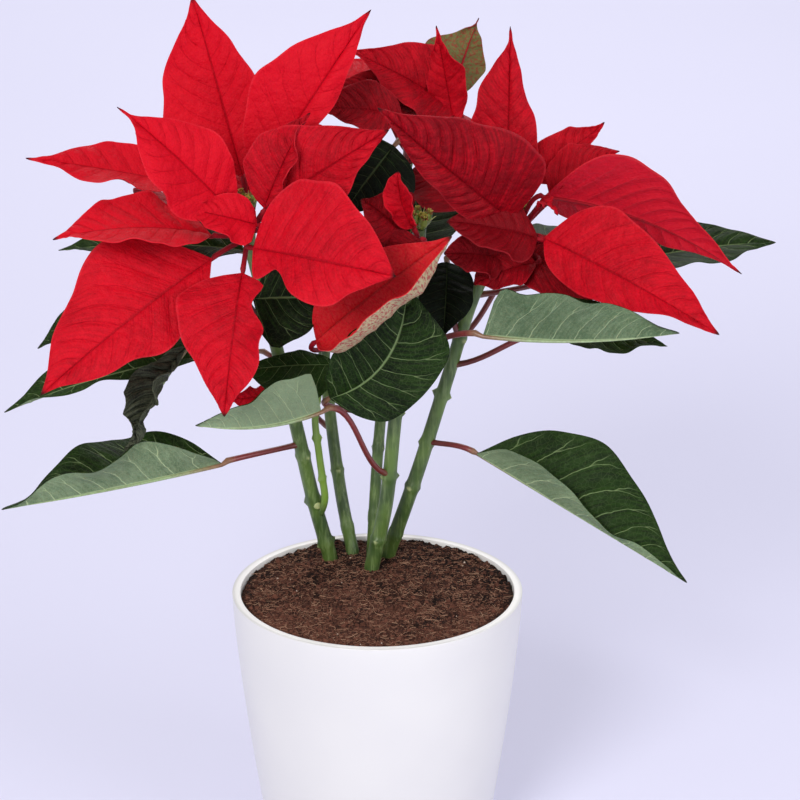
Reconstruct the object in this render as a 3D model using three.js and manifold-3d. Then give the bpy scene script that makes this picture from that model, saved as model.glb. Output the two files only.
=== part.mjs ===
// Potted poinsettia, in millimetres, +Z up. The origin is the centre of the pot's flat underside.
// The plant leaves the soil as five stems. They carry green leaves on red stalks, and each ends in a
// flower head: a whorl of red bracts round a small cluster of yellow-green cyathia.
import * as THREE from "three";
import { mergeVertices } from "three/addons/utils/BufferGeometryUtils.js";
import Module from "manifold-3d";

const wasm = await Module();
wasm.setup();

// ---------------------------------------------------------------- driving dimensions

const GAP = 0.4; // clearance kept between neighbouring pieces
const POT = {
  height: 130, rimRadius: 70, baseRadius: 54.5, wall: 4, floor: 5,
  taper: 1.35, // above 1 the side is steeper towards the rim
  footChamfer: 3, rimRound: 0.6, sides: 30,
};
const SOIL = {
  edge: 127.5, // height where it meets the pot
  mound: 2.5, relief: 1.6, wallGap: 0.7, rings: 5, sectors: 24,
};
const STEM = { sides: 7, spans: 8 };
const SHOOT_STEM = { sides: 6, spans: 6 };
// An old leaf node swells the stem by a share of its radius, over a length of stem.
const NODE = { swelling: 0.22, spread: 2.2, ringBelow: 3, ringAbove: 2 };
const BLADE_THICKNESS = 0.8;
// A stalk rises a little from its stem, bends over a share of its reach and is sunk into the blade.
const STALK = { radius: 1.4, sunkRadius: 0.85, sides: 4, sunk: 0.09, rise: 0.3, bend: 0.35, longReach: 25 };
// The collar of a flower head: its bulge over the stem's radius, and the stretch that bears the bracts.
const COLLAR = { at: [0, 0.3, 1], bulge: [0, 0.5, 0.3], bearsFrom: 0.1, bearsTo: 0.75, sides: 6 };
const DISC = { height: 1.6, radius: [2.2, 3], sides: 8 };
const CUP = { height: 6.5, radius: [1.7, 2.4, 1.55], sunk: 0.8, lean: 0.35, firstTurn: 0.4, sides: 5 };

// Each stem has the points of its centre line from the buried end up (straight up to the second, just
// above the soil), its radius at the soil and at the top, the heights of the old leaf nodes that swell
// it, and the end of the collar that carries its bracts.
const STEMS = {
  left: {
    path: [[-19, 41, 82], [-24, 38, 131], [-32, 34, 164], [-39, 24, 204], [-49, 8, 258], [-58, -4, 303]],
    radius: [3.7, 2.8], nodes: [139, 163, 188, 222, 262], head: [-59, -8, 316],
  },
  rear_left: {
    path: [[-10, 44, 82], [-13, 46, 131], [-18, 52, 155], [-23, 60, 190], [-28, 72, 238], [-33, 82, 292]],
    radius: [3.2, 2.5], nodes: [142, 170, 205, 246], head: [-34, 85, 306],
  },
  middle: {
    path: [[-6, 25, 82], [-3, 24, 131], [4, 22, 165], [8, 20, 204], [13, 16, 256], [19, 10, 296]],
    radius: [3.7, 2.7], nodes: [146, 180, 214, 250], head: [20, 7, 308],
  },
  rear: {
    path: [[-5, 39, 82], [-3, 42, 131], [-1, 48, 168], [1, 54, 194], [7, 68, 255], [14, 77, 318]],
    radius: [2.9, 2.4], nodes: [150, 184, 228, 272], head: [17, 77, 338],
  },
  right: {
    path: [[4, 43, 82], [5, 41, 131], [19, 38, 174], [33, 36, 222], [48, 32, 272], [60, 27, 294]],
    radius: [3.7, 2.9], nodes: [142, 168, 192, 217, 246], head: [64, 24, 309],
  },
};
// The thin side shoot leaves the left stem just above the soil.
const SHOOT = {
  path: [[-29, 35, 153], [-26, 30.5, 164], [-27, 29, 176], [-28.5, 27, 190], [-30, 25.5, 210], [-25, 22, 234]],
  radius: [1.9, 1.6], nodes: [176, 198, 217], head: [-24, 18, 250],
};

// Outlines: the blade's half width at these shares of its length, as a share of the fullest.
const OUTLINE_AT = [0, 0.1, 0.24, 0.42, 0.6, 0.77, 0.9, 1];
const OUTLINES = {
  ovate: [0, 0.5, 0.88, 1, 0.84, 0.5, 0.17, 0],
  lobed: [0, 0.4, 0.76, 1, 0.7, 0.46, 0.18, 0],
  spiked: [0, 0.45, 0.8, 1, 0.88, 0.42, 0.08, 0],
  heart: [0, 0.68, 0.97, 0.98, 0.76, 0.44, 0.16, 0],
  drop: [0, 0.8, 1, 0.84, 0.54, 0.27, 0.1, 0],
  broad: [0, 0.62, 0.94, 1, 0.92, 0.66, 0.3, 0],
  late: [0, 0.46, 0.86, 0.95, 1, 0.9, 0.36, 0],
  pinched: [0, 0.72, 0.44, 0.95, 1, 0.62, 0.22, 0],
  blunt: [0, 0.9, 1, 0.96, 0.8, 0.52, 0.2, 0],
  tapered: [0, 0.85, 1, 0.64, 0.34, 0.2, 0.1, 0],
};

// What a blade's shape is where its row says nothing else.
const BLADE = {
  outline: ["ovate", "ovate"], // of the left and the right half
  full: [1, 1], // width of each half, as a share of half the row's width
  fold: [12, 12], // degrees that each half rises from the midrib
  curl: [0, 0], // degrees more at the margin
  arch: 4, // rise of the midrib's middle towards the upper face
  bow: 0, // sideways bend of the midrib, towards the right half
  hook: 0, // bend of the slender tip towards the upper face
  wave: 1.2, // height of the waves along the margin
  waves: 2.5, // number of those waves
  phase: 0,
};

// A blade's row: its name, the height at which its stalk leaves the stem (for a bract, the share of
// the collar), the base and tip of the blade, where its upper face looks, its width, and its shape.
const blade = (name, foot, base, tip, face, width, shape = {}) => ({
  ...BLADE, name, foot, base, tip, face, width, ...shape,
});

// Columns of points, from margin over midrib to margin. A narrow blade that doesn't curl has fewer.
const ACROSS = { wide: [-1, -0.5, 0, 0.5, 1], narrow: [-1, 0, 1] };
const NARROW_UP_TO = 32;
const RIGHT_WAVE_SHIFT = 1.9; // the right margin's waves stand out of step with the left's

const LEAVES = {
  left: [
    blade("inner_left", 262, [-57, -3, 277], [-13, 5, 274], [-0.1, -0.9, 0.5], 42,
      { outline: ["ovate", "drop"], full: [1, 1.2], arch: 3 }),
    blade("low_left", 194.5, [-74, 0, 195], [-174, -30, 183], [0, 0.4, 1], 54,
      { fold: [46, 52], full: [0.8, 1.1], wave: 4, waves: 2.2, phase: -2.82, arch: -1 }),
    blade("withered", 262, [-88, -4, 254], [-117, -16, 205], [-0.5, -1, 0.4], 23,
      { fold: [30, 20], curl: [30, 30], wave: 2.5, waves: 3.5 }),
    blade("left_tip", 236, [-80, 16, 243], [-174, -8, 223], [-0.2, -0.6, 1], 46,
      { full: [0.3, 1], wave: 1.5, arch: 5 }),
    blade("left_rear", 280, [-62, 30, 291], [-150, 26, 292], [-0.1, -0.3, 1], 44, { arch: 3 }),
  ],
  rear_left: [
    blade("rear_side", 190, [-62, 92, 222], [-128, 112, 208], [-0.1, 0.3, 1], 54, { arch: 8 }),
    blade("left_behind", 246, [-98, 46, 268], [-162, 24, 244], [-0.2, -0.5, 1], 36, { arch: 4 }),
  ],
  middle: [
    blade("centre_left", 222, [-18, 8, 241], [-65, 4, 239], [0.1, -0.8, 0.8], 46,
      { full: [0.95, 0.3], arch: 3 }),
    blade("front_left", 181, [-26, -10, 225], [-82, -40, 228], [0, 0.6, 1], 46,
      { outline: ["blunt", "drop"], fold: [38, 35], full: [1.15, 0.6], wave: 1.5, arch: -4 }),
    blade("front_centre", 214, [-22, -6, 229], [14, -20, 288], [0.1, -1, 0.3], 50,
      { outline: ["broad", "late"], arch: 5, bow: 11, full: [0.86, 0.98] }),
    blade("front_right", 248, [49, -16, 264], [136, -40, 272], [0, 0.4, 1], 50,
      { outline: ["heart", "blunt"], fold: [52, 50], full: [1, 1.06], arch: -3 }),
  ],
  rear: [
    blade("rear_low", 215, [14, 98, 238], [34, 156, 230], [0.1, 0.4, 1], 54, { arch: 8 }),
    blade("rear_high", 228, [3, 80, 266], [48, 110, 309], [-0.2, -0.5, 1], 58, { arch: 6 }),
    blade("inner_dark", 272, [8, 36, 340], [-17, 10, 312], [0.2, -0.8, 0.6], 42,
      { full: [1, 1.1], arch: 3 }),
  ],
  right: [
    blade("low_right", 192, [48, 20, 192], [148, -12, 138], [0, -0.95, 0.33], 66,
      { outline: ["ovate", "tapered"], fold: [0, 130], full: [1.05, 0.56], arch: -2, wave: 1.6 }),
    blade("right_under", 232, [84, 22, 253], [137, 12, 249], [0, -0.35, 1], 26, { fold: [5, 5], arch: 2 }),
    blade("inner_right", 246, [33, 27, 286], [31, 2, 257], [0.1, -1, 0.2], 26,
      { outline: ["broad", "late"], arch: 3 }),
    blade("right_tip", 268, [112, 44, 279], [193, 58, 287], [0, -0.4, 1], 40, { arch: 3 }),
    blade("right_rear", 246, [72, 70, 278], [120, 104, 272], [0.2, 0.4, 1], 50, { arch: 8 }),
  ],
};

const BRACTS = {
  left: [
    blade("low_left", 0.05, [-74, -20, 301], [-148, -62, 250], [-0.2, -1, 0.5], 60,
      { full: [0.75, 1.22], fold: [0, 8], arch: 5, outline: ["lobed", "lobed"] }),
    blade("low_front", 0.1, [-60, -26, 296], [-67, -62, 240], [-0.1, -1, 0.35], 46,
      { full: [0.65, 1.12], outline: ["pinched", "heart"] }),
    blade("mid_right", 0.25, [-55, -28, 308], [9, -60, 304], [0.1, -1, 0.35], 54,
      { full: [1.25, 0.72], outline: ["broad", "pinched"] }),
    blade("mid_left", 0.35, [-74, -20, 312], [-141, -50, 318], [0, -0.4, 1], 42, { arch: 5 }),
    blade("rear_left", 0.45, [-78, 4, 328], [-158, -6, 344], [0, -0.6, 1], 32,
      { outline: ["spiked", "spiked"], fold: [20, 10], arch: 1 }),
    blade("front_left", 0.6, [-64, -22, 322], [-111, -46, 376], [0.2, -1, 0.6], 36,
      { full: [1.15, 1.05], arch: 5, outline: ["spiked", "spiked"] }),
    blade("front_right", 0.6, [-48, -16, 324], [6, -20, 360], [0, -1, 0.4], 42,
      { outline: ["heart", "heart"], full: [1.2, 0.85] }),
    blade("upright", 0.75, [-61, 4, 333], [-83, 18, 413], [0, -1, 0.2], 46,
      { full: [1.25, 0.86], arch: -4 }),
    blade("upper_right", 0.8, [-53, 0, 332], [-2, 6, 409], [0, -1, 0.3], 40,
      { full: [1.3, 0.5], arch: 5 }),
    blade("front_curl", 0.55, [-50, -20, 324], [-29, -16, 367], [-0.4, -1, 0.2], 22,
      { full: [1.5, 0.6], fold: [14, 40], arch: 3 }),
    blade("front_small", 0.45, [-53, -25, 318], [-85, -38, 329], [0, -1, 0.5], 22,
      { outline: ["blunt", "heart"], arch: 2 }),
    blade("back_low", 0.2, [-72, 14, 309], [-110, 68, 304], [-0.3, 0.4, 1], 56, { arch: 7 }),
    blade("back_high", 0.5, [-58, 14, 318], [-68, 64, 336], [0, -0.3, 1], 46, { arch: 6 }),
  ],
  shoot: [
    blade("folded", 1, [-28, -8, 258], [34, -30, 314], [-0.3, -1, 0.6], 40,
      { outline: ["ovate", "late"], fold: [28, -18], full: [0.95, 1.7], curl: [0, 140], arch: 3 }),
    blade("drooping", 0.3, [-42, 14, 222], [-72, 8, 223], [0, -0.7, 1], 12, { arch: 2 }),
  ],
  middle: [
    blade("dark", 0.3, [13, -6, 308], [-7, -10, 326], [0.5, -1, 0.3], 30, { outline: ["broad", "lobed"] }),
    blade("curled", 0.7, [17, -9, 312], [10, -15, 340], [-0.5, -1, 0], 15,
      { outline: ["late", "late"], curl: [60, 20] }),
    blade("low", 0.05, [20, -10, 307], [4, -20, 297], [0, -0.6, 1], 16),
  ],
  rear_left: [
    blade("left", 0.2, [-50, 90, 306], [-104, 104, 318], [-0.2, -0.2, 1], 52, { arch: 6 }),
    blade("back", 0.4, [-36, 102, 308], [-46, 158, 318], [0, -0.3, 1], 50, { arch: 6 }),
    blade("up", 0.4, [-42, 82, 320], [-50, 80, 364], [0, -1, 0.3], 30),
  ],
  rear: [
    blade("wide_left", 0.4, [39, 68, 349], [-13, 46, 383], [0.3, -1, 0.6], 40,
      { outline: ["ovate", "heart"], full: [0.75, 1.05], arch: 4 }),
    blade("shaded_left", 0.1, [24, 58, 348], [-21, 46, 367], [0.3, -0.9, 0.8], 34, { arch: 4 }),
    blade("near_left", 0.3, [12, 34, 355], [-28, 22, 361], [0, -1, 0.5], 26, { outline: ["lobed", "broad"] }),
    blade("upright", 0.6, [37, 66, 342], [28, 60, 392], [0, -1, 0.2], 20,
      { outline: ["spiked", "spiked"], arch: 2 }),
    blade("turning", 0.85, [35, 82, 351], [49, 92, 390], [-0.1, 1, 0.3], 34,
      { outline: ["spiked", "spiked"], full: [0.7, 1.15], arch: 2 }),
    blade("back_left", 0.5, [4, 90, 342], [-30, 134, 356], [-0.2, -0.3, 1], 50, { arch: 6 }),
    blade("back_right", 0.2, [30, 90, 330], [60, 134, 320], [0.1, -0.2, 1], 46, { arch: 7 }),
  ],
  right: [
    blade("low_dark", 0.1, [62, 15, 291], [116, 11, 276], [0, -0.8, 1], 40, { full: [0.9, 1.05], arch: 5 }),
    blade("front", 0.2, [77, 4, 304], [154, -40, 271], [-0.1, -1, 0.6], 50,
      { outline: ["heart", "heart"], full: [1, 0.65], arch: 6 }),
    blade("side", 0.35, [78, 16, 321], [170, 10, 285], [0.2, 1, 0.5], 46,
      { outline: ["drop", "drop"], full: [0.7, 1.4], fold: [5, 0], arch: 10 }),
    blade("corrugated", 0.3, [62, 2, 313], [1, -34, 373], [-0.3, -1, 0.3], 48,
      { outline: ["heart", "heart"], full: [0.5, 1.42], arch: 5 }),
    blade("under_left", 0.15, [74, 0, 305], [32, -12, 316], [0, -0.9, 0.8], 34,
      { outline: ["broad", "lobed"], arch: 3 }),
    blade("under_low", 0.02, [58, 6, 294], [31, -5, 299], [0.2, -1, 0.6], 24,
      { outline: ["broad", "broad"], arch: 3 }),
    blade("low_turned", 0.08, [74, 8, 291], [45, 2, 282], [0, -0.9, 0.8], 24,
      { outline: ["lobed", "broad"] }),
    blade("upright", 0.75, [61, 30, 320], [62, 42, 395], [0, -1, 0.1], 32,
      { outline: ["spiked", "drop"], full: [1.1, 0.9] }),
    blade("hooked", 0.8, [72, 30, 324], [107, 36, 350], [0, -1, 0.8], 22, { hook: 4, arch: 3 }),
    blade("folded", 0.6, [80, 18, 321], [112, 16, 342], [0, -0.5, 0.9], 30, { full: [1.1, 0.25], arch: 3 }),
    blade("tiny", 0.5, [75, 8, 318], [83, -1, 316], [0, -0.6, 1], 8),
    blade("back_left", 0.4, [46, 40, 310], [15, 62, 321], [-0.2, -0.8, 1], 40, { arch: 5 }),
    blade("back_right", 0.3, [84, 40, 314], [124, 80, 306], [0.2, -0.1, 1], 54, { arch: 8 }),
  ],
};

// Cyathia: where the cups of each head stand round the collar's end, and how many there are.
const CYATHIA = {
  left: { cups: 4, spread: 4.2 },
  rear_left: { cups: 3, spread: 3.6 },
  middle: { cups: 4, spread: 3.8 },
  rear: { cups: 3, spread: 3.6 },
  right: { cups: 4, spread: 4.2 },
  shoot: { cups: 1, spread: 0 },
};

const COLOURS = {
  pot: [0xf0f0f2, 0.35],
  soil: [0x4a3227, 0.95],
  stem: [0x4f7a3a, 0.6],
  leaf: [0x1f4a25, 0.5],
  bract: [0xd01226, 0.55],
  cyathia: [0xa9b83a, 0.6],
};

// ---------------------------------------------------------------- small helpers

const vec = (point) => new THREE.Vector3(...point);
const radians = THREE.MathUtils.degToRad;

function seededRandom(seed) {
  let state = seed;
  return () => {
    state = (state * 1664525 + 1013904223) % 4294967296;
    return state / 4294967296;
  };
}

function geometryFrom(points, triangles) {
  const geometry = new THREE.BufferGeometry();
  const positions = points.flatMap((p) => [p.x, p.y, p.z]);
  geometry.setAttribute("position", new THREE.Float32BufferAttribute(positions, 3));
  geometry.setIndex(triangles.flat());
  return geometry;
}

function solidOf(geometry) {
  const bare = geometry.clone();
  bare.deleteAttribute("normal");
  bare.deleteAttribute("uv");
  const closed = mergeVertices(bare, 1e-4);
  const mesh = new wasm.Mesh({
    numProp: 3,
    vertProperties: new Float32Array(closed.attributes.position.array),
    triVerts: new Uint32Array(closed.index.array),
  });
  return new wasm.Manifold(mesh);
}

function geometryOf(solid) {
  const mesh = solid.getMesh();
  const geometry = new THREE.BufferGeometry();
  const positions = new Float32Array(mesh.vertProperties);
  geometry.setAttribute("position", new THREE.BufferAttribute(positions, 3));
  geometry.setIndex(new THREE.BufferAttribute(new Uint32Array(mesh.triVerts), 1));
  return geometry;
}

// A closed tube through the points, each with its own radius.
function tube(points, radii, sides) {
  const vertices = [];
  const triangles = [];
  let across = null;
  points.forEach((point, i) => {
    const before = points[Math.max(0, i - 1)];
    const after = points[Math.min(points.length - 1, i + 1)];
    const along = after.clone().sub(before).normalize();
    across = across ?? new THREE.Vector3(1, 0, 0);
    if (Math.abs(across.dot(along)) > 0.9) across = new THREE.Vector3(0, 1, 0);
    across = across.clone().addScaledVector(along, -across.dot(along)).normalize();
    const up = along.clone().cross(across);
    for (let k = 0; k < sides; k += 1) {
      const turn = (2 * Math.PI * k) / sides;
      const offset = across.clone().multiplyScalar(Math.cos(turn)).addScaledVector(up, Math.sin(turn));
      vertices.push(point.clone().addScaledVector(offset, radii[i]));
    }
  });
  for (let i = 0; i + 1 < points.length; i += 1) {
    for (let k = 0; k < sides; k += 1) {
      const a = i * sides + k;
      const b = i * sides + ((k + 1) % sides);
      triangles.push([a, b, a + sides], [b, b + sides, a + sides]);
    }
  }
  const last = (points.length - 1) * sides;
  for (let k = 1; k + 1 < sides; k += 1) {
    triangles.push([0, k + 1, k], [last, last + k, last + k + 1]);
  }
  return geometryFrom(vertices, triangles);
}

// ---------------------------------------------------------------- stems

// The centre line: straight out of the soil up to the second point, then a smooth curve.
function stemLine(stem) {
  const points = stem.path.map(vec);
  const start = points[1].clone().lerp(points[0], 0.05);
  const curve = new THREE.CatmullRomCurve3([start, ...points.slice(1)], false, "centripetal");
  return { buried: points[0], curve };
}

// The share of a rising curve at which it reaches a height.
function shareAtHeight(curve, height) {
  let low = 0;
  let high = 1;
  for (let i = 0; i < 30; i += 1) {
    const middle = (low + high) / 2;
    if (curve.getPoint(middle).z < height) low = middle;
    else high = middle;
  }
  return (low + high) / 2;
}

function stemRadius(stem, share, height) {
  const [low, high] = stem.radius;
  const nearness = (node) => Math.exp(-(((height - node) / NODE.spread) ** 2));
  const swelling = stem.nodes.reduce((sum, node) => sum + nearness(node), 0);
  return (low + (high - low) * share) * (1 + NODE.swelling * swelling);
}

// Rings along the curve: even ones, and three at each node so that it shows.
function stemRings(stem, curve, grow, spans) {
  const nearest = 0.025; // an even ring this close to a node is left out
  const even = Array.from({ length: spans + 1 }, (_, i) => i / spans);
  const nodes = stem.nodes.map((height) => shareAtHeight(curve, height));
  const clear = even.filter((share) => nodes.every((node) => Math.abs(share - node) > nearest));
  const heights = stem.nodes.flatMap((node) => [node - NODE.ringBelow, node, node + NODE.ringAbove]);
  const swollen = heights.map((height) => shareAtHeight(curve, height));
  const shares = [...clear, ...swollen].sort((a, b) => a - b);
  const points = shares.map((share) => curve.getPoint(share));
  const radii = shares.map((share, i) => stemRadius(stem, share, points[i].z) + grow);
  return { points, radii };
}

function stemSolid(stem, grow = 0) {
  const { buried, curve } = stemLine(stem);
  const { points, radii } = stemRings(stem, curve, grow, STEM.spans);
  const down = buried.clone().sub(points[0]).normalize();
  const foot = buried.clone().addScaledVector(down, grow);
  return solidOf(tube([foot, ...points], [radii[0], ...radii], STEM.sides));
}

function shootSolid(grow = 0) {
  const curve = new THREE.CatmullRomCurve3(SHOOT.path.map(vec), false, "centripetal");
  const { points, radii } = stemRings(SHOOT, curve, grow, SHOOT_STEM.spans);
  return solidOf(tube(points, radii, SHOOT_STEM.sides));
}

// ---------------------------------------------------------------- blades: leaves and bracts

// The outline's smooth curve, as a share of the fullest half width, at a share of the blade's length.
function outlineValue(values, share) {
  const last = OUTLINE_AT.length - 1;
  const reached = OUTLINE_AT.findLastIndex((at) => at <= share);
  const span = Math.min(last - 1, Math.max(0, reached));
  const slope = (i) => {
    const before = Math.max(0, i - 1);
    const after = Math.min(last, i + 1);
    return (values[after] - values[before]) / (OUTLINE_AT[after] - OUTLINE_AT[before]);
  };
  const length = OUTLINE_AT[span + 1] - OUTLINE_AT[span];
  const t = (share - OUTLINE_AT[span]) / length;
  const value =
    values[span] * (2 * t ** 3 - 3 * t ** 2 + 1) +
    values[span + 1] * (3 * t ** 2 - 2 * t ** 3) +
    slope(span) * length * (t ** 3 - 2 * t ** 2 + t) +
    slope(span + 1) * length * (t ** 3 - t ** 2);
  return Math.max(0, value);
}

function bladeAxes(row) {
  const base = vec(row.base);
  const along = vec(row.tip).sub(base);
  const length = along.length();
  along.normalize();
  const face = vec(row.face);
  face.addScaledVector(along, -face.dot(along)).normalize();
  const right = along.clone().cross(face);
  return { base, along, face, right, length };
}

function midribPoint(row, axes, share) {
  const hookFrom = 0.75;
  const rise = 4 * share * (1 - share);
  const tipBend = Math.max(0, (share - hookFrom) / (1 - hookFrom)) ** 2;
  return axes.base
    .clone()
    .addScaledVector(axes.along, axes.length * share)
    .addScaledVector(axes.face, row.arch * rise + row.hook * tipBend)
    .addScaledVector(axes.right, row.bow * rise);
}

// A point of the blade's middle surface; across runs from -1 (left margin) over 0 (midrib) to 1.
function bladePoint(row, axes, share, across) {
  const step = 0.01;
  const ahead = midribPoint(row, axes, Math.min(1, share + step));
  const behind = midribPoint(row, axes, Math.max(0, share - step));
  const along = ahead.sub(behind).normalize();
  const right = axes.right.clone().addScaledVector(along, -axes.right.dot(along)).normalize();
  const face = right.clone().cross(along);
  const half = across < 0 ? 0 : 1;
  const side = across < 0 ? -1 : 1;
  const out = Math.abs(across);
  const reach = (row.width / 2) * row.full[half] * outlineValue(OUTLINES[row.outline[half]], share) * out;
  const fold = radians(row.fold[half]);
  const tilt = fold + (radians(row.curl[half]) * out) / 2;
  const swell = Math.sqrt(Math.max(0, Math.sin(Math.PI * share)));
  const turn = 2 * Math.PI * row.waves * share + row.phase + half * RIGHT_WAVE_SHIFT;
  const ripple = row.wave * out ** 2 * swell * Math.sin(turn);
  return midribPoint(row, axes, share)
    .addScaledVector(right, side * (reach * Math.cos(tilt) - ripple * Math.sin(fold)))
    .addScaledVector(face, reach * Math.sin(tilt) + ripple * Math.cos(fold));
}

// The columns of points across a blade.
function columnsOf(row) {
  const curls = row.curl.some((degrees) => degrees > 0);
  return row.width > NARROW_UP_TO || curls ? ACROSS.wide : ACROSS.narrow;
}

// Rows of points from base to tip, with a single point at each end.
function bladeRows(row) {
  const axes = bladeAxes(row);
  const columns = columnsOf(row);
  return OUTLINE_AT.map((share) => {
    const places = share === 0 || share === 1 ? [0] : columns;
    return places.map((across) => bladePoint(row, axes, share, across));
  });
}

// Triangles between neighbouring rows, mirrored about the midrib.
function bladeFaces(starts, columns) {
  const spans = starts.length - 1;
  const faces = [];
  for (let i = 0; i < spans; i += 1) {
    const a = starts[i];
    const b = starts[i + 1];
    for (let k = 0; k < columns; k += 1) {
      if (i === 0) faces.push([a, b + k + 1, b + k]);
      else if (i === spans - 1) faces.push([a + k, a + k + 1, b]);
      else if (k < columns / 2) faces.push([a + k, a + k + 1, b + k + 1], [a + k, b + k + 1, b + k]);
      else faces.push([a + k, a + k + 1, b + k], [a + k + 1, b + k + 1, b + k]);
    }
  }
  return faces;
}

// Where each point moves for half the blade's thickness: along its mean normal, and further in a fold.
function halfThickness(points, faces) {
  const normals = points.map(() => new THREE.Vector3());
  const faceNormals = faces.map(([a, b, c]) => {
    const edge = points[b].clone().sub(points[a]);
    return edge.cross(points[c].clone().sub(points[a])).normalize();
  });
  faces.forEach((corners, i) => corners.forEach((corner) => normals[corner].add(faceNormals[i])));
  normals.forEach((normal) => normal.normalize());
  const steps = points.map(() => 1);
  faces.forEach((corners, i) => {
    for (const corner of corners) {
      const lean = Math.max(0.5, faceNormals[i].dot(normals[corner]));
      steps[corner] = Math.max(steps[corner], 1 / lean);
    }
  });
  return normals.map((normal, i) => normal.multiplyScalar((steps[i] * BLADE_THICKNESS) / 2));
}

// The blade as a closed leaf of even thickness, with both faces split into the same triangles.
function bladeSolid(row) {
  const rows = bladeRows(row);
  const points = rows.flat();
  const starts = rows.map((_, i) => rows.slice(0, i).flat().length);
  const ends = rows.map((entry, i) => starts[i] + entry.length - 1);
  const faces = bladeFaces(starts, columnsOf(row).length - 1);
  const margin = [];
  for (let i = 0; i + 1 < rows.length; i += 1) {
    margin.push([ends[i], ends[i + 1]], [starts[i + 1], starts[i]]);
  }
  const offsets = halfThickness(points, faces);
  const upper = points.map((point, i) => point.clone().add(offsets[i]));
  const lower = points.map((point, i) => point.clone().sub(offsets[i]));
  const count = points.length;
  const triangles = [
    ...faces,
    ...faces.map(([a, b, c]) => [a + count, c + count, b + count]),
    ...margin.flatMap(([a, b]) => [[a, b + count, b], [a, a + count, b + count]]),
  ];
  return solidOf(geometryFrom([...upper, ...lower], triangles));
}

// The stalk runs from the middle of the stem to the blade's base and on into its midrib.
function stalkSolid(row, from) {
  const axes = bladeAxes(row);
  const start = midribPoint(row, axes, 0);
  const into = midribPoint(row, axes, STALK.sunk);
  const inwards = into.clone().sub(start).normalize();
  const reach = start.distanceTo(from);
  const outwards = start.clone().sub(from);
  outwards.z *= STALK.rise;
  outwards.normalize();
  const leave = from.clone().addScaledVector(outwards, reach * STALK.bend);
  const arrive = start.clone().addScaledVector(inwards, -reach * STALK.bend);
  const curve = new THREE.CubicBezierCurve3(from, leave, arrive, start);
  const spans = reach > STALK.longReach ? 4 : 2;
  const points = [...curve.getPoints(spans), into];
  const radii = points.map((point) => (point === into ? STALK.sunkRadius : STALK.radius));
  return solidOf(tube(points, radii, STALK.sides));
}

const unionOf = (solids) => solids.reduce((sum, solid) => sum.add(solid));

// ---------------------------------------------------------------- flower heads

const HEAD_STEMS = { ...STEMS, shoot: SHOOT };

function collarLine(stem) {
  const foot = vec(stem.path.at(-1));
  const end = vec(stem.head);
  const up = end.clone().sub(foot).normalize();
  return { foot: foot.addScaledVector(up, 2 * GAP), end, up };
}

function bractsSolid(name) {
  const stem = HEAD_STEMS[name];
  const { foot, end } = collarLine(stem);
  const points = COLLAR.at.map((share) => foot.clone().lerp(end, share));
  const radii = COLLAR.bulge.map((bulge) => stem.radius[1] + bulge);
  const collar = solidOf(tube(points, radii, COLLAR.sides));
  const bracts = BRACTS[name].map((row) => {
    const share = COLLAR.bearsFrom + (COLLAR.bearsTo - COLLAR.bearsFrom) * row.foot;
    const from = foot.clone().lerp(end, share);
    return stalkSolid(row, from).add(bladeSolid(row));
  });
  return unionOf([collar, ...bracts]);
}

// One cyathium: a small cup, fullest at its middle.
function cupSolid(foot, up) {
  const step = CUP.height / (CUP.radius.length - 1);
  const points = CUP.radius.map((_, i) => foot.clone().addScaledVector(up, step * i));
  return solidOf(tube(points, CUP.radius, CUP.sides));
}

// A head's cups lean outwards round a small disc on the collar's end.
function cyathiaSolid(name) {
  const { end, up } = collarLine(HEAD_STEMS[name]);
  const { cups, spread } = CYATHIA[name];
  const foot = end.clone().addScaledVector(up, GAP);
  const top = foot.clone().addScaledVector(up, DISC.height);
  const disc = solidOf(tube([foot, top], DISC.radius, DISC.sides));
  const across = new THREE.Vector3(1, 0, 0).addScaledVector(up, -up.x).normalize();
  const other = up.clone().cross(across);
  const standing = Array.from({ length: cups }, (_, i) => {
    const turn = (2 * Math.PI * i) / cups + CUP.firstTurn;
    const outwards = across.clone().multiplyScalar(Math.cos(turn)).addScaledVector(other, Math.sin(turn));
    const lean = up.clone().addScaledVector(outwards, cups > 1 ? CUP.lean : 0).normalize();
    const cupFoot = foot.clone().addScaledVector(up, CUP.sunk).addScaledVector(outwards, spread / 2);
    return cupSolid(cupFoot, lean);
  });
  return unionOf([disc, ...standing]);
}

// ---------------------------------------------------------------- pot and soil

function potRadius(height) {
  return POT.rimRadius - (POT.rimRadius - POT.baseRadius) * (1 - height / POT.height) ** POT.taper;
}

// The pot's profile is turned about its axis: foot, outer wall, rounded rim, inner wall and floor.
function potGeometry() {
  const { height, wall, floor, footChamfer, rimRound } = POT;
  const shoulder = height - wall / 2;
  const outer = [0, 0.33, 0.67, 1].map((share) => footChamfer + share * (shoulder - footChamfer));
  const inner = [0.97, 0.67, 0.33, 0].map((share) => floor + share * (shoulder - floor));
  const profile = [
    [0, 0],
    [potRadius(0) - footChamfer, 0],
    ...outer.map((z) => [potRadius(z), z]),
    [potRadius(height) - rimRound, height - rimRound],
    [potRadius(height) - wall / 2, height],
    [potRadius(height) - wall + rimRound, height - rimRound],
    ...inner.map((z) => [potRadius(z) - wall, z]),
    [0, floor],
  ];
  const points = profile.map(([radius, z]) => new THREE.Vector2(radius, z));
  const geometry = new THREE.LatheGeometry(points, POT.sides);
  geometry.rotateX(Math.PI / 2);
  return geometry;
}

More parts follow.
